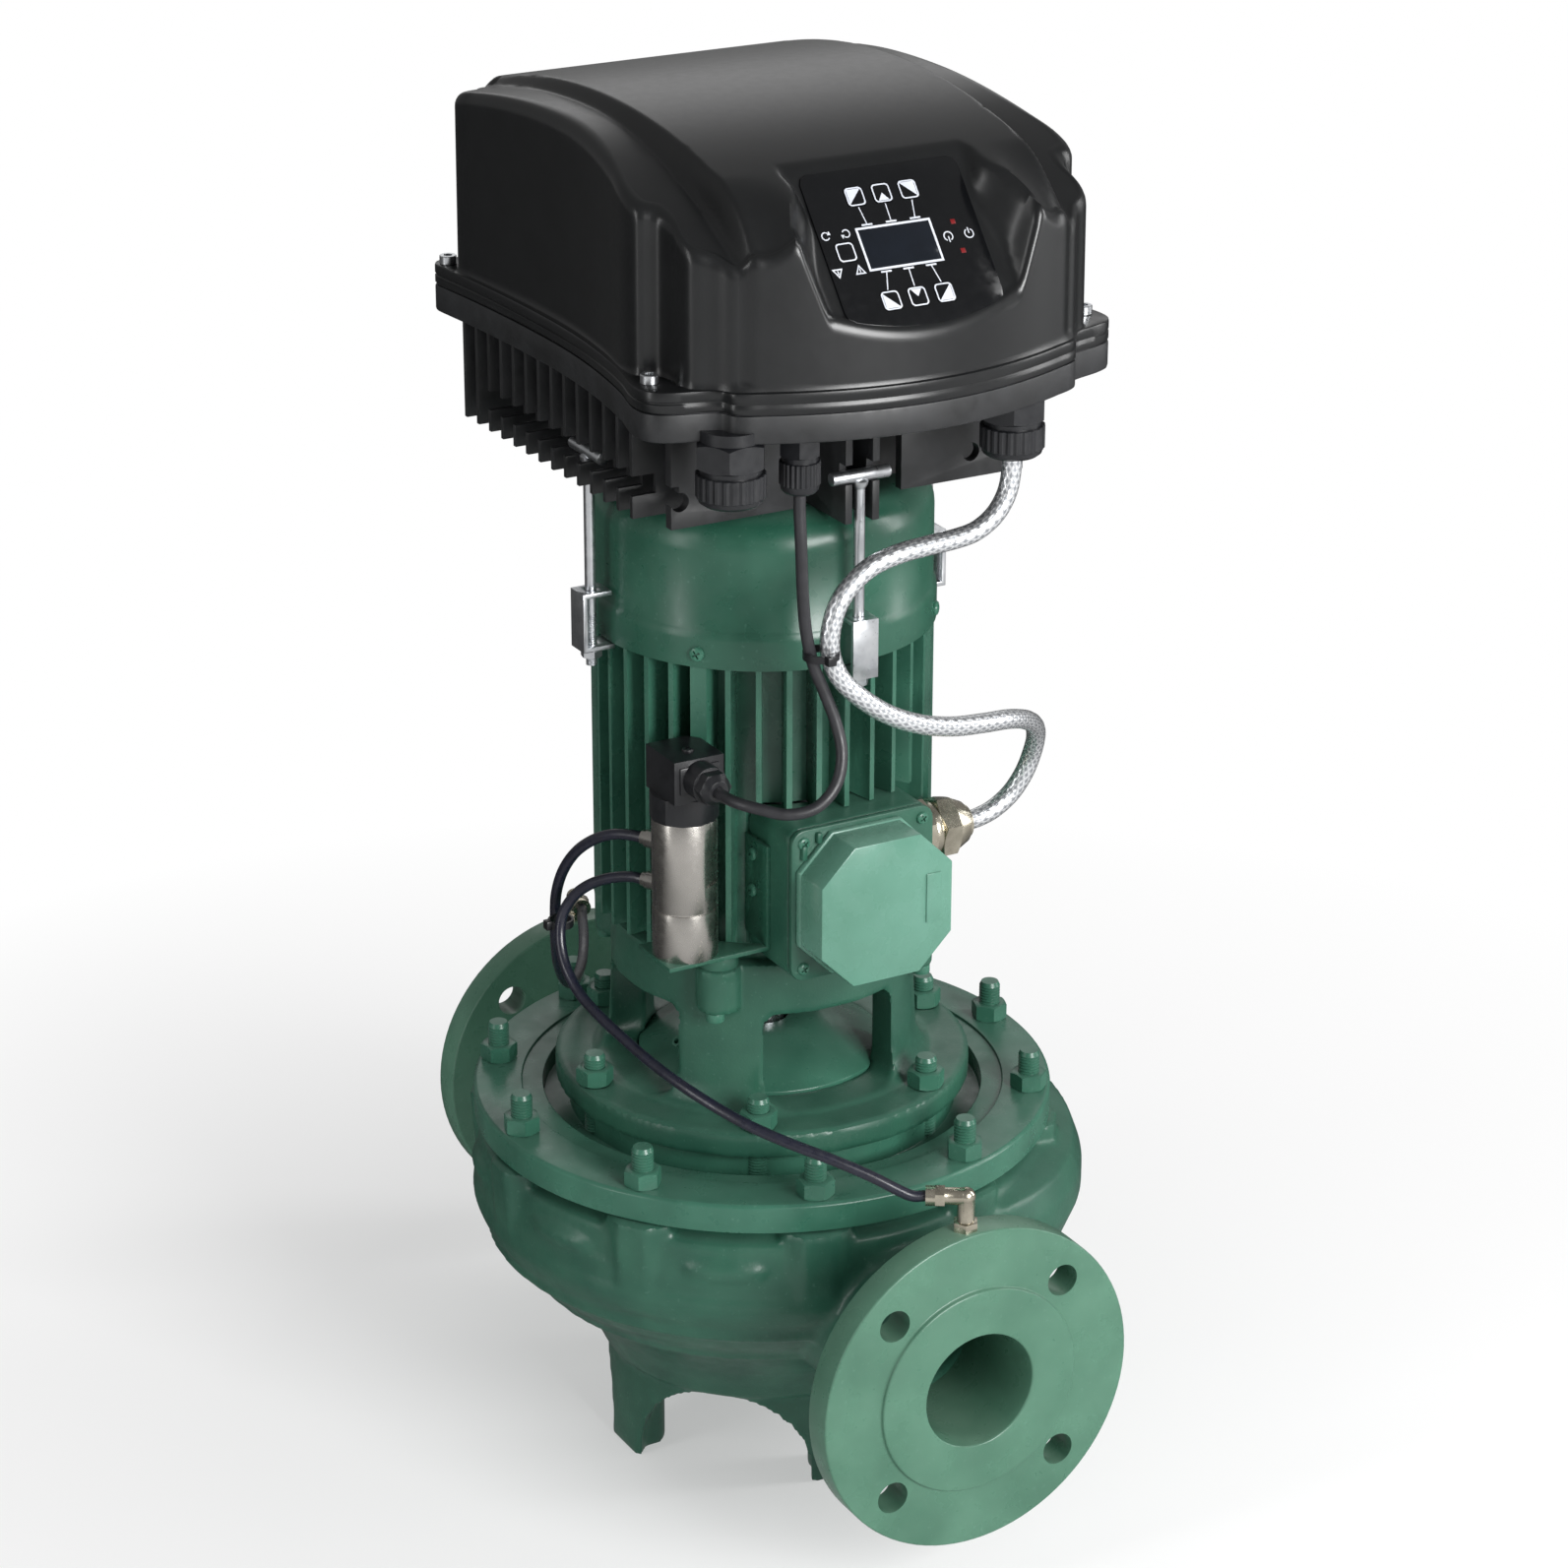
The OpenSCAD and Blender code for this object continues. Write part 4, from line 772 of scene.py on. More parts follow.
# Bare metals: zinc plate on screws, rods and clamps is pale and a little blue, nickel plate
# on the brass fittings is warmer and glossier, and the sensor's turned tube is a plain grey.
def metal(name, dark, light, gloss, grain=2.0, relief=0.004, brushed=False):
    """Metal with a faint grain in its colour, its gloss and its relief."""
    made = finish(name, {"Metallic": 1.0})
    place = add(made, "TexCoord").outputs["Object"]
    if brushed:
        stretch = add(made, "VectorMath", {0: place, 1: (1, 1, 18)}, operation="MULTIPLY")
        place = stretch.outputs[0]
    clouds = between(made, noise(made, 6 * grain, 3, place), 0, 1)
    feed(
        made,
        base_color=blend_colours(made, clouds, dark, light),
        roughness=between(made, noise(made, grain, 3, place), gloss - 0.03, gloss + 0.05),
        normal=bump(made, noise(made, grain, 1, place), relief, 0.4),
    )
    return made


zinc = metal("zinc_plate", "#c3c6ca", "#e2e4e6", 0.3)
nickel = metal("nickel_plate", "#b3ac9b", "#d9d2c0", 0.24, 1.6)
stainless = metal("stainless_tube", "#b3b0aa", "#c2beb8", 0.26, 4.0, 0.002)


def pan_head(radius, shank, length):
    """A pan-head screw along +Z with a cross recess."""
    head = spun([
        (0, -length), (shank, -length), (shank, 0), (radius, 0), (radius, radius * 0.22),
        (radius * 0.86, radius * 0.44), (radius * 0.5, radius * 0.57), (0, radius * 0.6),
    ], 32)
    arm = 0.6 * radius
    half = 0.13 * radius
    cross = joined([
        placed(block((-arm, -half, 0.22 * radius), (arm, half, radius)), turn(a))
        for a in (30, 120)
    ])
    return cut(head, cross)


box_z = 367
screws = joined([
    repeated(pan_head(4, 2, 9), [
        turn(a) @ at(94, 0, motor_top + 8) @ turn(90, "Y") for a in (40, 140, 220, 320)
    ]),
    repeated(pan_head(3.4, 2, 12), [
        at(x, -110, box_z + z) @ turn(90, "X") for x in (-36, 36) for z in (-36, 36)
    ]),
    repeated(pan_head(3.6, 2, 9), [
        at(-45.3, -72, box_z + z) @ turn(-90, "Y") for z in (-3, 18)
    ]),
])
piece("pan_screws", screws, smooth_paint, "motor_screws")
softened("stool_screws", "lantern_screws", 0.4, smooth_paint)


# Terminal box: an iron casting on the housing, with a flat lid plate, and an octagonal
# cover over the terminals. The cover is smoother than the casting, and its colour is lighter:
# painted light, for the light and reflection on its front.
def rounded(width, height, radius):
    """The outline of a rectangle with round corners."""
    outline = []
    for x, y, start in ((1, 1, 0), (-1, 1, 90), (-1, -1, 180), (1, -1, 270)):
        for a in range(start, start + 91, 15):
            outline.append((
                x * (width / 2 - radius) + radius * cos(radians(a)),
                y * (height / 2 - radius) + radius * sin(radians(a)),
            ))
    return outline


def octagon(width, corner):
    """The outline of a square whose corners are cut off."""
    h = width / 2
    return [
        (h - corner, -h), (h, corner - h), (h, h - corner), (h - corner, h),
        (corner - h, h), (-h, h - corner), (-h, corner - h), (corner - h, -h),
    ]


facing_front = at(0, 0, box_z) @ turn(90, "X")
barrel_r = 76
box_w = 86
box_outline = rounded(box_w, box_w, 8)
box_shell = cut(placed(prism(box_outline, 46, 106), facing_front), pin(barrel_r, 300, 440))
piece("terminal_housing", cast(box_shell, 1.3, 3), cast_paint, "terminal_box")
lid = joined([
    eased(prism(box_outline, 106.5, 110), 0.7),
    eased(prism(rounded(83, 83, 7), 105.4, 107), 0.1),
    eased(block((-38, 27, 109), (-35, 35, 113)), 0.8),
    eased(block((-29, 35, 109), (-26, 41, 113)), 0.8),
])
piece("lid_plate", placed(lid, facing_front), cast_paint)
octagon_cover = joined([
    eased(prism(octagon(79, 19.5), 113, 136), 0.7, 2),
    eased(prism(octagon(81, 19.5), 110, 114), 0.8, 2),
    eased(block((23.5, -12, 135), (32.5, 16, 137)), 0.5),
])
placed(octagon_cover, facing_front)
piece("octagonal_cover", octagon_cover, lid_paint_with_painted_light, "terminal_cover")

# Motor cable gland: nickel-plated brass, turned from hexagon bar. It is screwed into the
# terminal box, and its second hexagon pulls a cone down on the cable's braid.
motor_gland = joined([
    nut(18.2, 9, 4.65),
    eased(tube(4.65, 15, 8, 14, 48), 0.4),
    placed(nut(17.6, 11, 4.65), at(0, 0, 13), turn(12)),
    spun([(4.65, 23.5), (15, 23.5), (14.6, 25.5), (11.6, 32), (9, 33), (9, 35), (4.65, 35)], 48),
    tube(4.65, 12, -9, 1, 48),
])
piece(
    "brass_gland", placed(motor_gland, at(43, -86, 384), turn(90, "Y")), nickel,
    "motor_gland",
)

# Pressure sensor: a turned stainless tube with two hose ports. It stands on a bracket of
# bent and painted sheet, which two screws hold to the terminal box.
softened("bracket", "sensor_bracket", 0.5, sheet_paint)
softened("sensor_tube", "sensor_body", 0.35, stainless)


# Plastics: glass-filled polyamide on the glands and the plug, with a fine spark-eroded
# texture, and harder black paint on the inverter's aluminium tray.
def plastic(name, dark, light, gloss, grain, relief, uneven=0.06):
    """Black plastic or enamel with a fine texture."""
    made = finish(name, {"IOR": 1.5})
    feed(
        made,
        base_color=blend_colours(made, between(made, noise(made, 20, 3), 0, 1), dark, light),
        roughness=between(made, noise(made, 5, 3), gloss - uneven, gloss + uneven),
        normal=bump(made, noise(made, grain, 3, roughness=0.6), relief, 0.6),
    )
    return made


black_nylon = plastic("black_nylon", "#101114", "#1a1b1e", 0.36, 0.8, 0.03)
plug = joined([
    eased(copied("sensor_connector"), 0.9, 3),
    placed(pan_head(3.2, 1.6, 3), at(-85.5, -75, 452.4)),
    eased(block((-97, -88.6, 434), (-74, -86.9, 449)), 0.6),
])
piece("sensor_plug", plug, black_nylon, "sensor_connector")

# Fittings on the flange rims: nickel-plated brass, machined from bar. Each is screwed into
# a tapped hole in the rim, and its ring grips the hose.
softened("front_fitting", "front_elbow", 0.3, nickel)
softened("rear_fitting", "rear_elbow", 0.3, nickel)

# Cable ties: narrow moulded bands of black nylon, pulled tight by hand through a square
# head. One holds the two cables together, the other the two hoses.
ties = joined([
    copied("cable_ties"),
    eased(block((-44, -149, 515.5), (-39, -144.5, 520.5)), 0.5),
    eased(block((-134.5, -4.5, 332.5), (-131, 0.5, 337.5)), 0.5),
])
piece("tie_bands", ties, black_nylon, "cable_ties")

# Inverter tray: die-cast aluminium under a black coat, with a rim all round, a base plate
# for the glands and a heat sink of thin upright plates.
tray_z = 642
lip_z = 657
wall_z = 668
black_coat = plastic("black_powder_coat", "#141516", "#202123", 0.48, 0.9, 0.05)


def side_x(y):
    """Half the inverter's width, which is waisted."""
    return 120 + (14 if y < 8 else 6) * ((y - 8) / 118) ** 2


bow = [(x, 29 * (x / 103) ** 2 - 177) for x in range(0, 99, 14)]
sides = [(side_x(y), y) for y in range(-90, 87, 22)]
half_rim = bow + [(102, -142), (124, -134), (131, -130), (135, -123), (135, -111)] + sides
half_rim += [(side_x(108), 108), (side_x(124), 124), (126, 134), (121, 139.6), (108, 140)]
half_rim += [(70, 140), (30, 140)]
half_wall = bow + [(105, -142), (114, -136), (117, -129), (117, -118), (120, -108), (128, -103)]
half_wall += sides + [(side_x(101), 101), (side_x(114), 114), (118, 120), (111, 122)]
half_wall += [(107, 127), (104, 136), (70, 137), (30, 138)]


def round_loop(half, count=480):
    """Points at even angles round the shaft on a smooth closed curve through an outline."""
    whole = [Vector((*p, 0)) for p in half] + [Vector((-x, y, 0)) for x, y in half[:0:-1]]
    polar = []
    for i, start in enumerate(whole):
        end = whole[(i + 1) % len(whole)]
        reach = (end - start).length / 3
        pull_out = (end - whole[i - 1]).normalized() * reach
        pull_in = (whole[(i + 2) % len(whole)] - start).normalized() * reach
        for p in interpolate_bezier(start, start + pull_out, end - pull_in, end, 13)[:-1]:
            polar.append((atan2(p.y, p.x), p.length))
    polar.sort()
    first, last = polar[0], polar[-1]
    polar = [(last[0] - 2 * pi, last[1])] + polar + [(first[0] + 2 * pi, first[1])]
    loop = []
    pair = 0
    for k in range(count):
        angle = 2 * pi * (k + 0.5) / count - pi
        while polar[pair + 1][0] < angle:
            pair += 1
        (a0, r0), (a1, r1) = polar[pair], polar[pair + 1]
        r = r0 + (r1 - r0) * (angle - a0) / max(a1 - a0, 1e-9)
        loop.append((r * cos(angle), r * sin(angle)))
    return loop


def pulled(p, inset):
    """A point of an outline moved inwards, less so along the front."""
    share = 0.55 + 0.45 * rise(p[1], -142, -118)
    scale = 1 - inset * share / sqrt(p[0] ** 2 + p[1] ** 2)
    return p[0] * scale, p[1] * scale


def level(loop, inset, z):
    """One row of a loft: an outline moved inwards, at one height."""
    return [(*pulled(p, inset), z) for p in loop]


def lofted(rows):
    """A closed shell through rows of points in millimetres, from the bottom to the top."""
    bm = bare()
    ring = [bm.verts.new([c * MM for c in p]) for p in rows[0]]
    edges = [bm.edges.new((ring[i - 1], ring[i])) for i in range(len(ring))]
    bm.faces.new(ring)
    for row in rows[1:]:
        grown = set(bmesh.ops.extrude_edge_only(bm, edges=edges)["geom"])
        ring = [
            next(v for v in (e.other_vert(old) for e in old.link_edges) if v in grown)
            for old in ring
        ]
        edges = [bm.edges.get((ring[i - 1], ring[i])) for i in range(len(ring))]
        for vert, place in zip(ring, row):
            vert.co = [c * MM for c in place]
    bm.faces.new(ring)
    bmesh.ops.recalc_face_normals(bm, faces=bm.faces)
    return bm


rim = round_loop(half_rim)
rim_shell = lofted([
    level(rim, 1.5, tray_z), level(rim, 0.4, tray_z + 0.5), level(rim, 0, tray_z + 1.6),
    level(rim, 0, tray_z + 13.4), level(rim, 0.5, tray_z + 14.3), level(rim, 1.2, tray_z + 14.5),
    level(rim, 10, tray_z + 14.5), level(rim, 10.5, tray_z + 14), level(rim, 11, tray_z + 6),
])
sink = cut(copied("heat_sink"), block((-200, -200, tray_z), (200, 200, 720)))
posts = joined([
    placed(pin(4, tray_z + 2, tray_z + 32, 24), at(x, y, 0))
    for x in (-80, 80) for y in (-70, 80)
])
piece("tray_rim", joined([rim_shell, posts]), black_coat, "heat_sink")
piece("heat_sink_plates", eased(sink, 0.5), black_coat)

# Cable glands under the tray: black nylon, each with a hexagon, a ribbed cap and a round
# nose. The largest one is closed with a plug.
def nylon_gland(x, thread, corner, drop, bore):
    """One gland, hung under the tray's base plate."""
    ribs = []
    for i in range(72):
        grip = corner * 0.93 - (0.9 if i % 3 == 0 else 0)
        ribs.append((grip * cos(2 * pi * i / 72), grip * sin(2 * pi * i / 72)))
    made = joined([
        pin(thread, -1, 6, 48),
        placed(nut(corner, drop * 0.42, 1), at(0, 0, -drop * 0.42)),
        pin(corner * 0.82, -0.6 * drop, -1, 48),
        eased(prism(ribs, -0.86 * drop, -0.5 * drop), 0.35, 1, 50),
        spun([
            (0, -drop), (0.6 * corner, -drop), (0.74 * corner, -0.975 * drop),
            (0.85 * corner, -0.93 * drop), (0.89 * corner, -0.85 * drop), (0, -0.85 * drop),
        ], 48),
    ])
    if bore:
        made = joined([made, spun([
            (bore, -drop - 0.6), (bore + 1.4, -drop - 0.6), (bore + 2, -drop + 1),
            (bore, -drop + 1),
        ], 32)])
    return placed(made, at(x, -140, tray_z))


for use, x, thread, corner, bore in (
    ("power", 68, 12.5, 18, 5.3), ("signal", -56, 8, 11.3, 3.2), ("spare", -95, 16, 19, 0),
):
    gland = nylon_gland(x, thread, corner, 34, bore)
    piece(use + "_gland_body", gland, black_nylon, use + "_gland")

# Tie rods: zinc-plated steel rods with a welded T-bar that hooks into the heat sink. Their
# lower ends go through U clamps on the cowl's hem, and a nut pulls each of them tight.
rod = joined([
    threaded(3, 479, 509, 1.0),
    pin(3, 508, 597, 24),
    placed(eased(pin(3.5, -17, 17, 32), 0.5), at(0, 0, 597.5), turn(90, "X")),
    spun([(3, 590.5), (4.3, 592.6), (4.6, 594.6), (3, 596)], 24),
])
quarter_places = [turn(a) @ at(103, 0, 0) for a in (0, 90, 180, 270)]
piece("rod_set", repeated(rod, quarter_places), zinc, "tie_rods")
softened("clamp_set", "clamp_hooks", 0.6, zinc)
clamp_nuts = joined([
    repeated(nut(5.8, 5, 3.03), [place @ at(0, 0, 483.5) @ turn(20) for place in quarter_places]),
    repeated(
        tube(3.1, 6, 479.7, 480.6, 32),
        [place @ at(0, 0, 8.1) for place in quarter_places],
    ),
])
piece("clamp_nut_set", clamp_nuts, zinc, "clamp_nuts")

# Inverter cover: one shell of black plastic over the tray. Its middle stands proud of two
# side lobes, its front bows out, and the display's slope is cut into the middle.
satin_black = plastic("satin_black_plastic", "#101112", "#131415", 0.3, 0.7, 0.012, 0.015)
slope_tilt = 50
display_slope = radians(slope_tilt)
display_mid = (0, -143.5, 728)


def soft_min(a, b, width):
    """The lower of two values, with a rounded corner between them."""
    h = max(width - abs(a - b), 0) / width
    return min(a, b) - h * h * width / 4


def slope_edge(s):
    """Half the width of the display's slope at a distance up the slope."""
    edge = [
        (-60, 44), (-44, 47), (-30, 53.5), (-14, 54), (20, 47.5), (48, 52), (80, 66), (110, 76),
    ]
    for (s0, x0), (s1, x1) in zip(edge, edge[1:]):
        if s < s1:
            return x0 + (x1 - x0) * rise(s, s0, s1)
    return edge[-1][1]


def skin(x, y):
    """Height of the cover's outer skin."""
    centre = 781.8 - 0.0011 * (y - 10) ** 2
    centre -= 0.012 * rise(abs(x), 58, 88) * max(0, -112 - y) ** 2
    lobe = 775 - (0.00095 if y > 8 else 0.0019) * (y - 8) ** 2
    band = rise(abs(x), 86, 94)
    roof = centre * (1 - band) + min(centre, lobe) * band
    s = (y - display_mid[1]) / cos(display_slope)
    out = abs(x) - slope_edge(s)
    ramp = (out + 2) ** 2 / 8 if abs(out) < 2 else max(0, out)
    return soft_min(roof, display_mid[2] + s * sin(display_slope) + 2.4 * ramp, 5)


wall = round_loop(half_wall)
corner_r = 8
lip = [
    level(rim, 0.9, lip_z), level(rim, 0, lip_z + 0.9), level(rim, 0, lip_z + 4.4),
    level(rim, 0.8, lip_z + 4.9), level(rim, 0.8, lip_z + 5.6), level(rim, 0, lip_z + 6.1),
    level(rim, 0, lip_z + 9.8), level(rim, 0.35, lip_z + 10.7), level(rim, 1.2, wall_z),
    level(wall, 0.6, wall_z), level(wall, 2.2, wall_z + 0.5), level(wall, 3, wall_z + 2.2),
]
tops = []
creases = []
for p in wall:
    q = pulled(p, 3.6 + corner_r)
    tops.append(max(wall_z + 8, skin(*q) - corner_r))
    creases.append(2.6 * 2.718 ** (-((abs(p[0]) - 95) / 3.6) ** 2) if p[1] < -120 else 0)
walls = []
for k in range(1, 27):
    t = k / 26
    row = []
    for p, top, crease in zip(wall, tops, creases):
        z = wall_z + 2.2 + (top - wall_z - 2.2) * t
        row.append((*pulled(p, 3 + 0.6 * t + crease), z))
    walls.append(row)
corners = []
for a in range(12, 91, 13):
    row = []
    for p, top, crease in zip(wall, tops, creases):
        fade = cos(radians(a))
        q = pulled(p, 3.6 + crease * fade + corner_r * (1 - fade))
        row.append((*q, top + corner_r * sin(radians(a))))
    corners.append(row)
roofs = []
for k in range(1, 104):
    share = 1 - k / 104
    row = []
    for p in wall:
        x, y = pulled(p, 3.6 + corner_r)
        x, y = x * share, y * share - 20 * (1 - share)
        row.append((x, y, skin(x, y)))
    roofs.append(row)
cover_shell = lofted(lip + walls + corners + roofs)
piece("cover_shell", cover_shell, satin_black, "inverter_cover", smooth=42)

# Cover screws: zinc-plated steel screws with socket heads, turned down on the lip in the
# cover's four corners.
socket_head = cut(
    joined([
        spun([(0, 0), (4.2, 0), (4.6, 0.4), (4.6, 4.4), (4.2, 4.8), (0, 4.8)], 40),
        pin(2.4, -20, 0.5, 24),
    ]),
    prism([(2.6 * cos(radians(60 * i)), 2.6 * sin(radians(60 * i))) for i in range(6)], 1.8, 8),
)
piece(
    "socket_screws",
    repeated(socket_head, [
        at(side * x, y, wall_z - 0.1) for side in (-1, 1) for x, y in ((126, -114), (120, 130))
    ]),
    zinc, "cover_screws",
)

# Display: a glossy polyester overlay on the slope, a liquid-crystal screen under its window,
# and seven keys under embossed squares. All marks on it are printed in pale grey.
on_slope = at(*display_mid) @ turn(slope_tilt, "X")
gloss_black = plastic("overlay_polyester", "#08090b", "#0b0c0e", 0.14, 3.0, 0.008)
lower_edge = [(x, 91.5 - sqrt(135 ** 2 - x ** 2)) for x in range(40, -41, -5)]
panel_outline = [
    (45, 38.5), (43.5, 42), (40, 43.5), (-40, 43.5), (-43.5, 42), (-45, 38.5), (-45, -31),
    (-44.2, -34.4),
] + lower_edge[::-1] + [(44.2, -34.4), (45, -31)]
key_places = [(x, s) for s in (28.4, -28.4) for x in (-17.7, -2.5, 12.7)] + [(-33, 0)]
windows = [placed(prism(rounded(11.1, 11.1, 2.5), -2, 2), at(x, s, 0)) for x, s in key_places]
windows.append(block((-23.1, -11.1, -0.4), (18.1, 11.1, 2)))
overlay = cut(eased(prism(panel_outline, -1, 1), 0.3), joined(windows))
piece("overlay", placed(overlay, on_slope), gloss_black, "display_panel")

screen_glass = plastic("screen_glass", "#0c1016", "#10151d", 0.08, 5.0, 0.004)
screen = eased(block((-23, -11, -0.4), (18, 11, 0.9)), 0.15)
piece("screen", placed(screen, on_slope), screen_glass, "display_screen")

printed_grey = plastic("printed_grey", "#b9bdc6", "#cdd0d6", 0.4, 1.0, 0.005)
led_red = plastic("red_lamp", "#5c0d10", "#7d1416", 0.3, 1.0, 0.005)


def printed(outline, hole=None, lift=1.0):
    """A printed patch with a hole in it."""
    made = prism(outline, lift, lift + 0.07)
    return cut(made, prism(hole, lift - 1, lift + 1)) if hole else made


def stroke(start, end, width):
    """A printed line."""
    a, b = Vector(start), Vector(end)
    side = (b - a).orthogonal().normalized() * width / 2
    return printed([tuple(a - side), tuple(b - side), tuple(b + side), tuple(a + side)])


def swung(x, s, radius, width, start, end):
    """A printed arc round a point."""
    angles = [radians(start + (end - start) * i / 20) for i in range(21)]
    outer = [(x + radius * cos(a), s + radius * sin(a)) for a in angles]
    inner = [(x + (radius - width) * cos(a), s + (radius - width) * sin(a)) for a in angles]
    return printed(outer + inner[::-1])


marks = [printed(
    [(-23.8, -11.8), (18.8, -11.8), (18.8, 11.8), (-23.8, 11.8)],
    [(-22.6, -10.6), (17.6, -10.6), (17.6, 10.6), (-22.6, 10.6)],
)]
for top, low in ((-17.7, -16.4), (-2.5, -2.7), (12.7, 11)):
    marks += [
        stroke((low - 3, 12.9), (low + 3, 12.9), 0.9), stroke((top, 22.6), (low, 13.3), 0.55),
    ]
for top, low in ((-14.9, -17.7), (-2.3, -2.5), (10.6, 12.7)):
    marks += [
        stroke((top - 3, -12.9), (top + 3, -12.9), 0.9), stroke((top, -13.3), (low, -22.6), 0.55),
    ]
for x, turned in ((25.5, 270), (37.5, 90)):
    marks += [
        swung(x, 0.6, 2.7, 0.6, turned + 28, turned + 332),
        stroke((x, 0.6), (x, 0.6 + (3.2 if turned == 90 else -3.2)), 0.6),
    ]
arrow_s = 9.8
for x, flip in ((-41, 1), (-29.5, -1)):
    head = [(x + flip * a, arrow_s + flip * b) for a, b in ((1.0, 0.6), (3.0, 0.4), (2.4, 2.6))]
    start = 140 - 90 * flip
    marks += [swung(x, arrow_s, 2.3, 0.6, start, start + 280), printed(head)]
triangle_s = -10.2
for x, tip in ((-41, -1), (-28.8, 1)):
    outside, inside = (
        [(x, triangle_s + up * tip), (x - half * tip, triangle_s - down * tip),
         (x + half * tip, triangle_s - down * tip)]
        for up, half, down in ((3, 3, 2.2), (1.7, 1.9, 1.5))
    )
    marks += [
        printed(outside, inside),
        stroke((x, triangle_s + 0.9 * tip), (x, triangle_s - 1.2 * tip), 0.6),
    ]
piece("printed_marks", placed(joined(marks), on_slope), printed_grey)
lamps_red = joined([
    eased(block((29.6, s - 1.3, 0.9), (32.2, s + 1.3, 1.15)), 0.1) for s in (8, -8)
])
piece("status_lamps", placed(lamps_red, on_slope), led_red)

half_shapes = {
    "upper_left": [(-4, -4), (4, 4), (-4, 4)],
    "small_up": [(-3, -4), (3, -4), (0, 0)],
    "upper_right": [(-4, 4), (4, -4), (4, 4)],
    "lower_left": [(-4, -4), (4, -4), (-4, 4)],
    "small_down": [(-3, 4), (0, 0), (3, 4)],
    "lower_right": [(-4, -4), (4, -4), (4, 4)],
    "none": None,
}
for number, ((x, s), shape) in enumerate(zip(key_places, half_shapes.values()), 1):
    body = "key_%d_cap" % number
    node = "key_%d" % number
    cap = placed(eased(prism(rounded(10.5, 10.5, 2.2), -0.2, 1.2), 0.2), on_slope, at(x, s, 0))
    piece("key_cap_%d" % number, cap, gloss_black, node, body)
    symbol = [printed(rounded(9.9, 9.9, 2.1), rounded(8.5, 8.5, 1.6), 1.2)]
    if shape:
        symbol.append(printed(shape, lift=1.2))
    symbol = placed(joined(symbol), on_slope, at(x, s, 0))
    piece("key_symbol_%d" % number, symbol, printed_grey, (), body)

# Inside the pump: bronze impeller and wear ring, a carbon and ceramic seal, steel shaft and
# bearings, laminated cores with copper windings, and the inverter's circuit board.
bronze = metal("cast_bronze", "#7d5c33", "#a57f4a", 0.42, 2.0, 0.05)
turned_steel = metal("turned_steel", "#8f9295", "#b9bcbf", 0.26, 1.2, 0.01)
laminated = metal("laminated_core", "#4a4a4c", "#6a6a6d", 0.45, 0.8, 0.04, brushed=True)
enamelled_wire = metal("enamelled_wire", "#6d2f14", "#9a4a22", 0.35, 1.1, 0.15)
dress(bronze, "impeller", "wear_ring")
dress(turned_steel, "motor_shaft", "impeller_nut", "bearing_outer_races", "bearing_inner_races")
dress(turned_steel, "bearing_balls")
dress(laminated, "stator_core", "rotor_core")
dress(enamelled_wire, "stator_windings")
dress(plastic("seal_carbon", "#26272a", "#333539", 0.35, 0.6, 0.02), "seal_head")
dress(plastic("seal_ceramic", "#cfcabd", "#ddd9cf", 0.22, 0.6, 0.01), "seal_seat")
dress(plastic("fan_nylon", "#191a1c", "#232427", 0.45, 0.9, 0.04), "cooling_fan")
dress(plastic("moulded_terminals", "#4a3426", "#5f4534", 0.5, 0.8, 0.04), "terminal_board")
dress(plastic("circuit_board", "#123a24", "#1c5233", 0.4, 1.5, 0.03), "control_board")
dress(plastic("foam_gasket", "#141416", "#222225", 0.8, 0.7, 0.08), "inverter_gasket")

# Studio: a white floor under a white sky, with four large soft lamps. Metal and gloss see a
# dimmer floor and sky than the camera does, so that dark plastic keeps its depth.
floor_mesh = bare()
bmesh.ops.create_grid(floor_mesh, x_segments=1, y_segments=1, size=6)
floor_data = bpy.data.meshes.new("studio_floor")
floor_mesh.to_mesh(floor_data)
floor_mesh.free()
floor = bpy.data.objects.new("studio_floor", floor_data)
bpy.context.scene.collection.objects.link(floor)
floor_finish = finish("white_floor", {"Base Color": (0.86, 0.86, 0.86, 1), "Roughness": 0.9})
floor_data.materials.append(floor_finish)
rays = add(floor_finish, "LightPath").outputs
place = add(floor_finish, "TexCoord").outputs["Object"]
far = add(floor_finish, "VectorMath", {0: place}, operation="LENGTH").outputs["Value"]
glow = add(floor_finish, "Emission", {"Color": (1, 1, 1, 1), "Strength": 1.0})
plain = floor_finish.node_tree.nodes["Principled BSDF"]
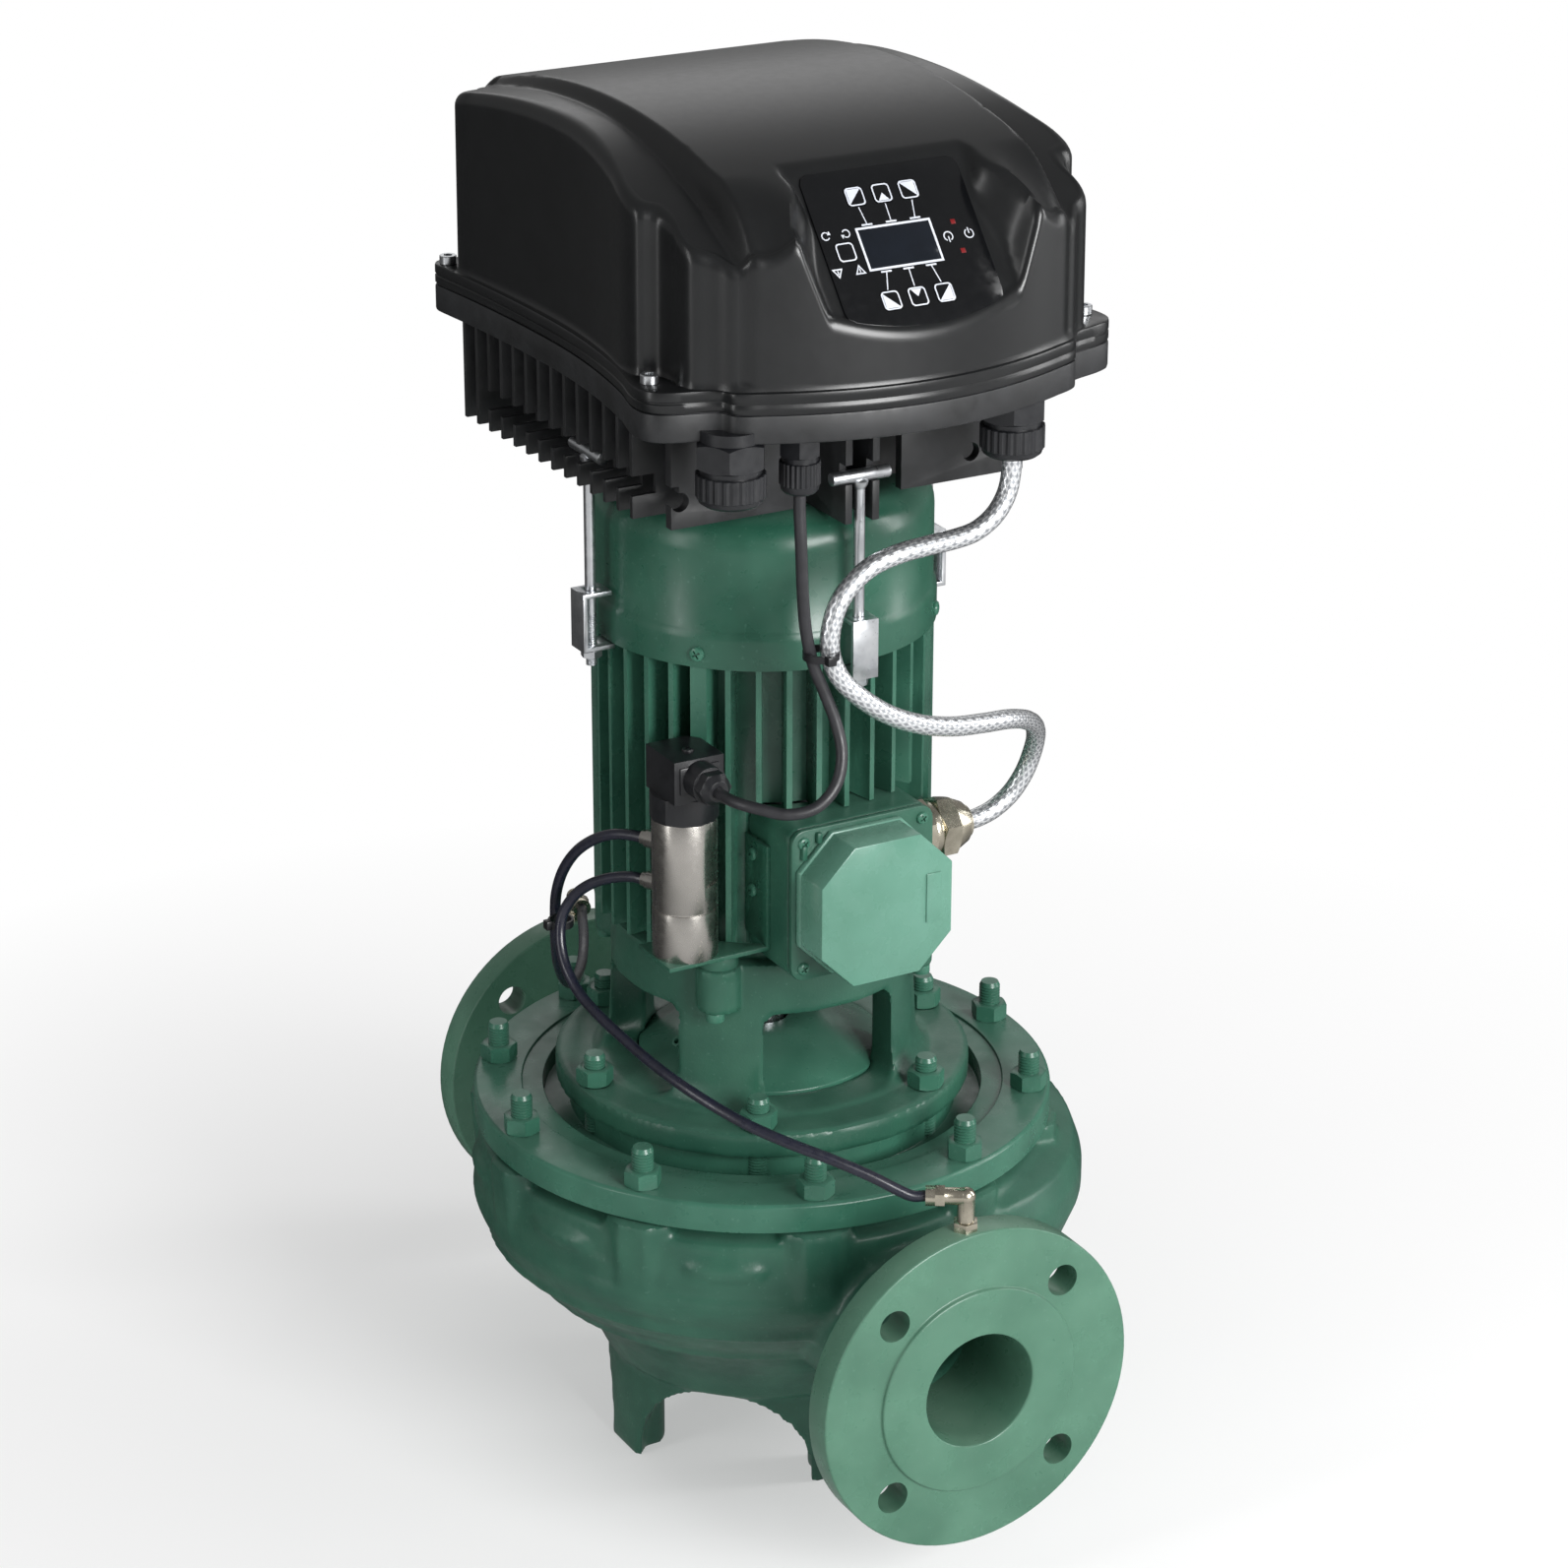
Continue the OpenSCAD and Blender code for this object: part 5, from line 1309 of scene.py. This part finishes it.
# For glossy rays the floor is only a glow, bright at the front and fading towards the rear: a
# painted reflection. Other rays see the lit floor with a faint glow added: painted bounce light,
# which lifts the pump's undersides.
front = add(floor_finish, "SeparateXYZ", {"Vector": place}).outputs["Y"]
painted_reflection_glow = add(floor_finish, "Emission", {
    "Color": (1, 1, 1, 1), "Strength": between(floor_finish, front, 0.7, 0.06, -0.6, 0.2),
})
painted_bounce_glow = add(floor_finish, "Emission", {"Color": (0.95, 0.98, 1, 1), "Strength": 0.45})
lit_and_painted_bounce = add(floor_finish, "AddShader", {0: plain.outputs[0], 1: painted_bounce_glow.outputs[0]})
seen_floor = add(floor_finish, "MixShader", {
    0: between(floor_finish, far, 0.4, 1.0, 0.3, 0.9), 1: plain.outputs[0], 2: glow.outputs[0],
})
mirrored = add(floor_finish, "MixShader", {
    0: rays["Is Glossy Ray"], 1: lit_and_painted_bounce.outputs[0], 2: painted_reflection_glow.outputs[0],
})
mixed = add(floor_finish, "MixShader", {
    0: rays["Is Camera Ray"], 1: mirrored.outputs[0], 2: seen_floor.outputs[0],
})
floor_finish.node_tree.links.new(
    mixed.outputs[0], floor_finish.node_tree.nodes["Material Output"].inputs["Surface"]
)

world = bpy.data.worlds.new("studio")
bpy.context.scene.world = world
world.use_nodes = True
sky = world.node_tree.nodes["Background"]
path = add(world, "LightPath").outputs
mirrored_sky = between(world, path["Is Glossy Ray"], 0.42, 0.24, 0, 1)
seen_sky = add(world, "Math", {0: mirrored_sky, 1: path["Is Camera Ray"]}, operation="MAXIMUM")
world.node_tree.links.new(seen_sky.outputs[0], sky.inputs["Strength"])
sky.inputs["Color"].default_value = (1, 1, 1, 1)


def lamp(name, place, target, size, watts):
    """A soft lamp that shines at a point."""
    light = bpy.data.lights.new(name, "AREA")
    light.shape = "RECTANGLE"
    light.size, light.size_y = size
    light.energy = watts
    made = bpy.data.objects.new(name, light)
    bpy.context.scene.collection.objects.link(made)
    made.location = place
    made.rotation_euler = (Vector(target) - Vector(place)).to_track_quat("-Z", "Y").to_euler()


middle = (0, 0, 0.42)
lamp("key", (0.35, -2.4, 1.2), middle, (1.1, 1.1), 78)
lamp("left_strip", (-2.4, -0.3, 1.1), middle, (0.4, 1.8), 13)
lamp("right_strip", (2.2, -0.9, 1.2), middle, (0.5, 1.8), 24)
lamp("top", (1.0, 1.9, 1.5), (0, 0, 0.75), (1.8, 0.8), 4)

bpy.context.scene.view_settings.view_transform = "Standard"
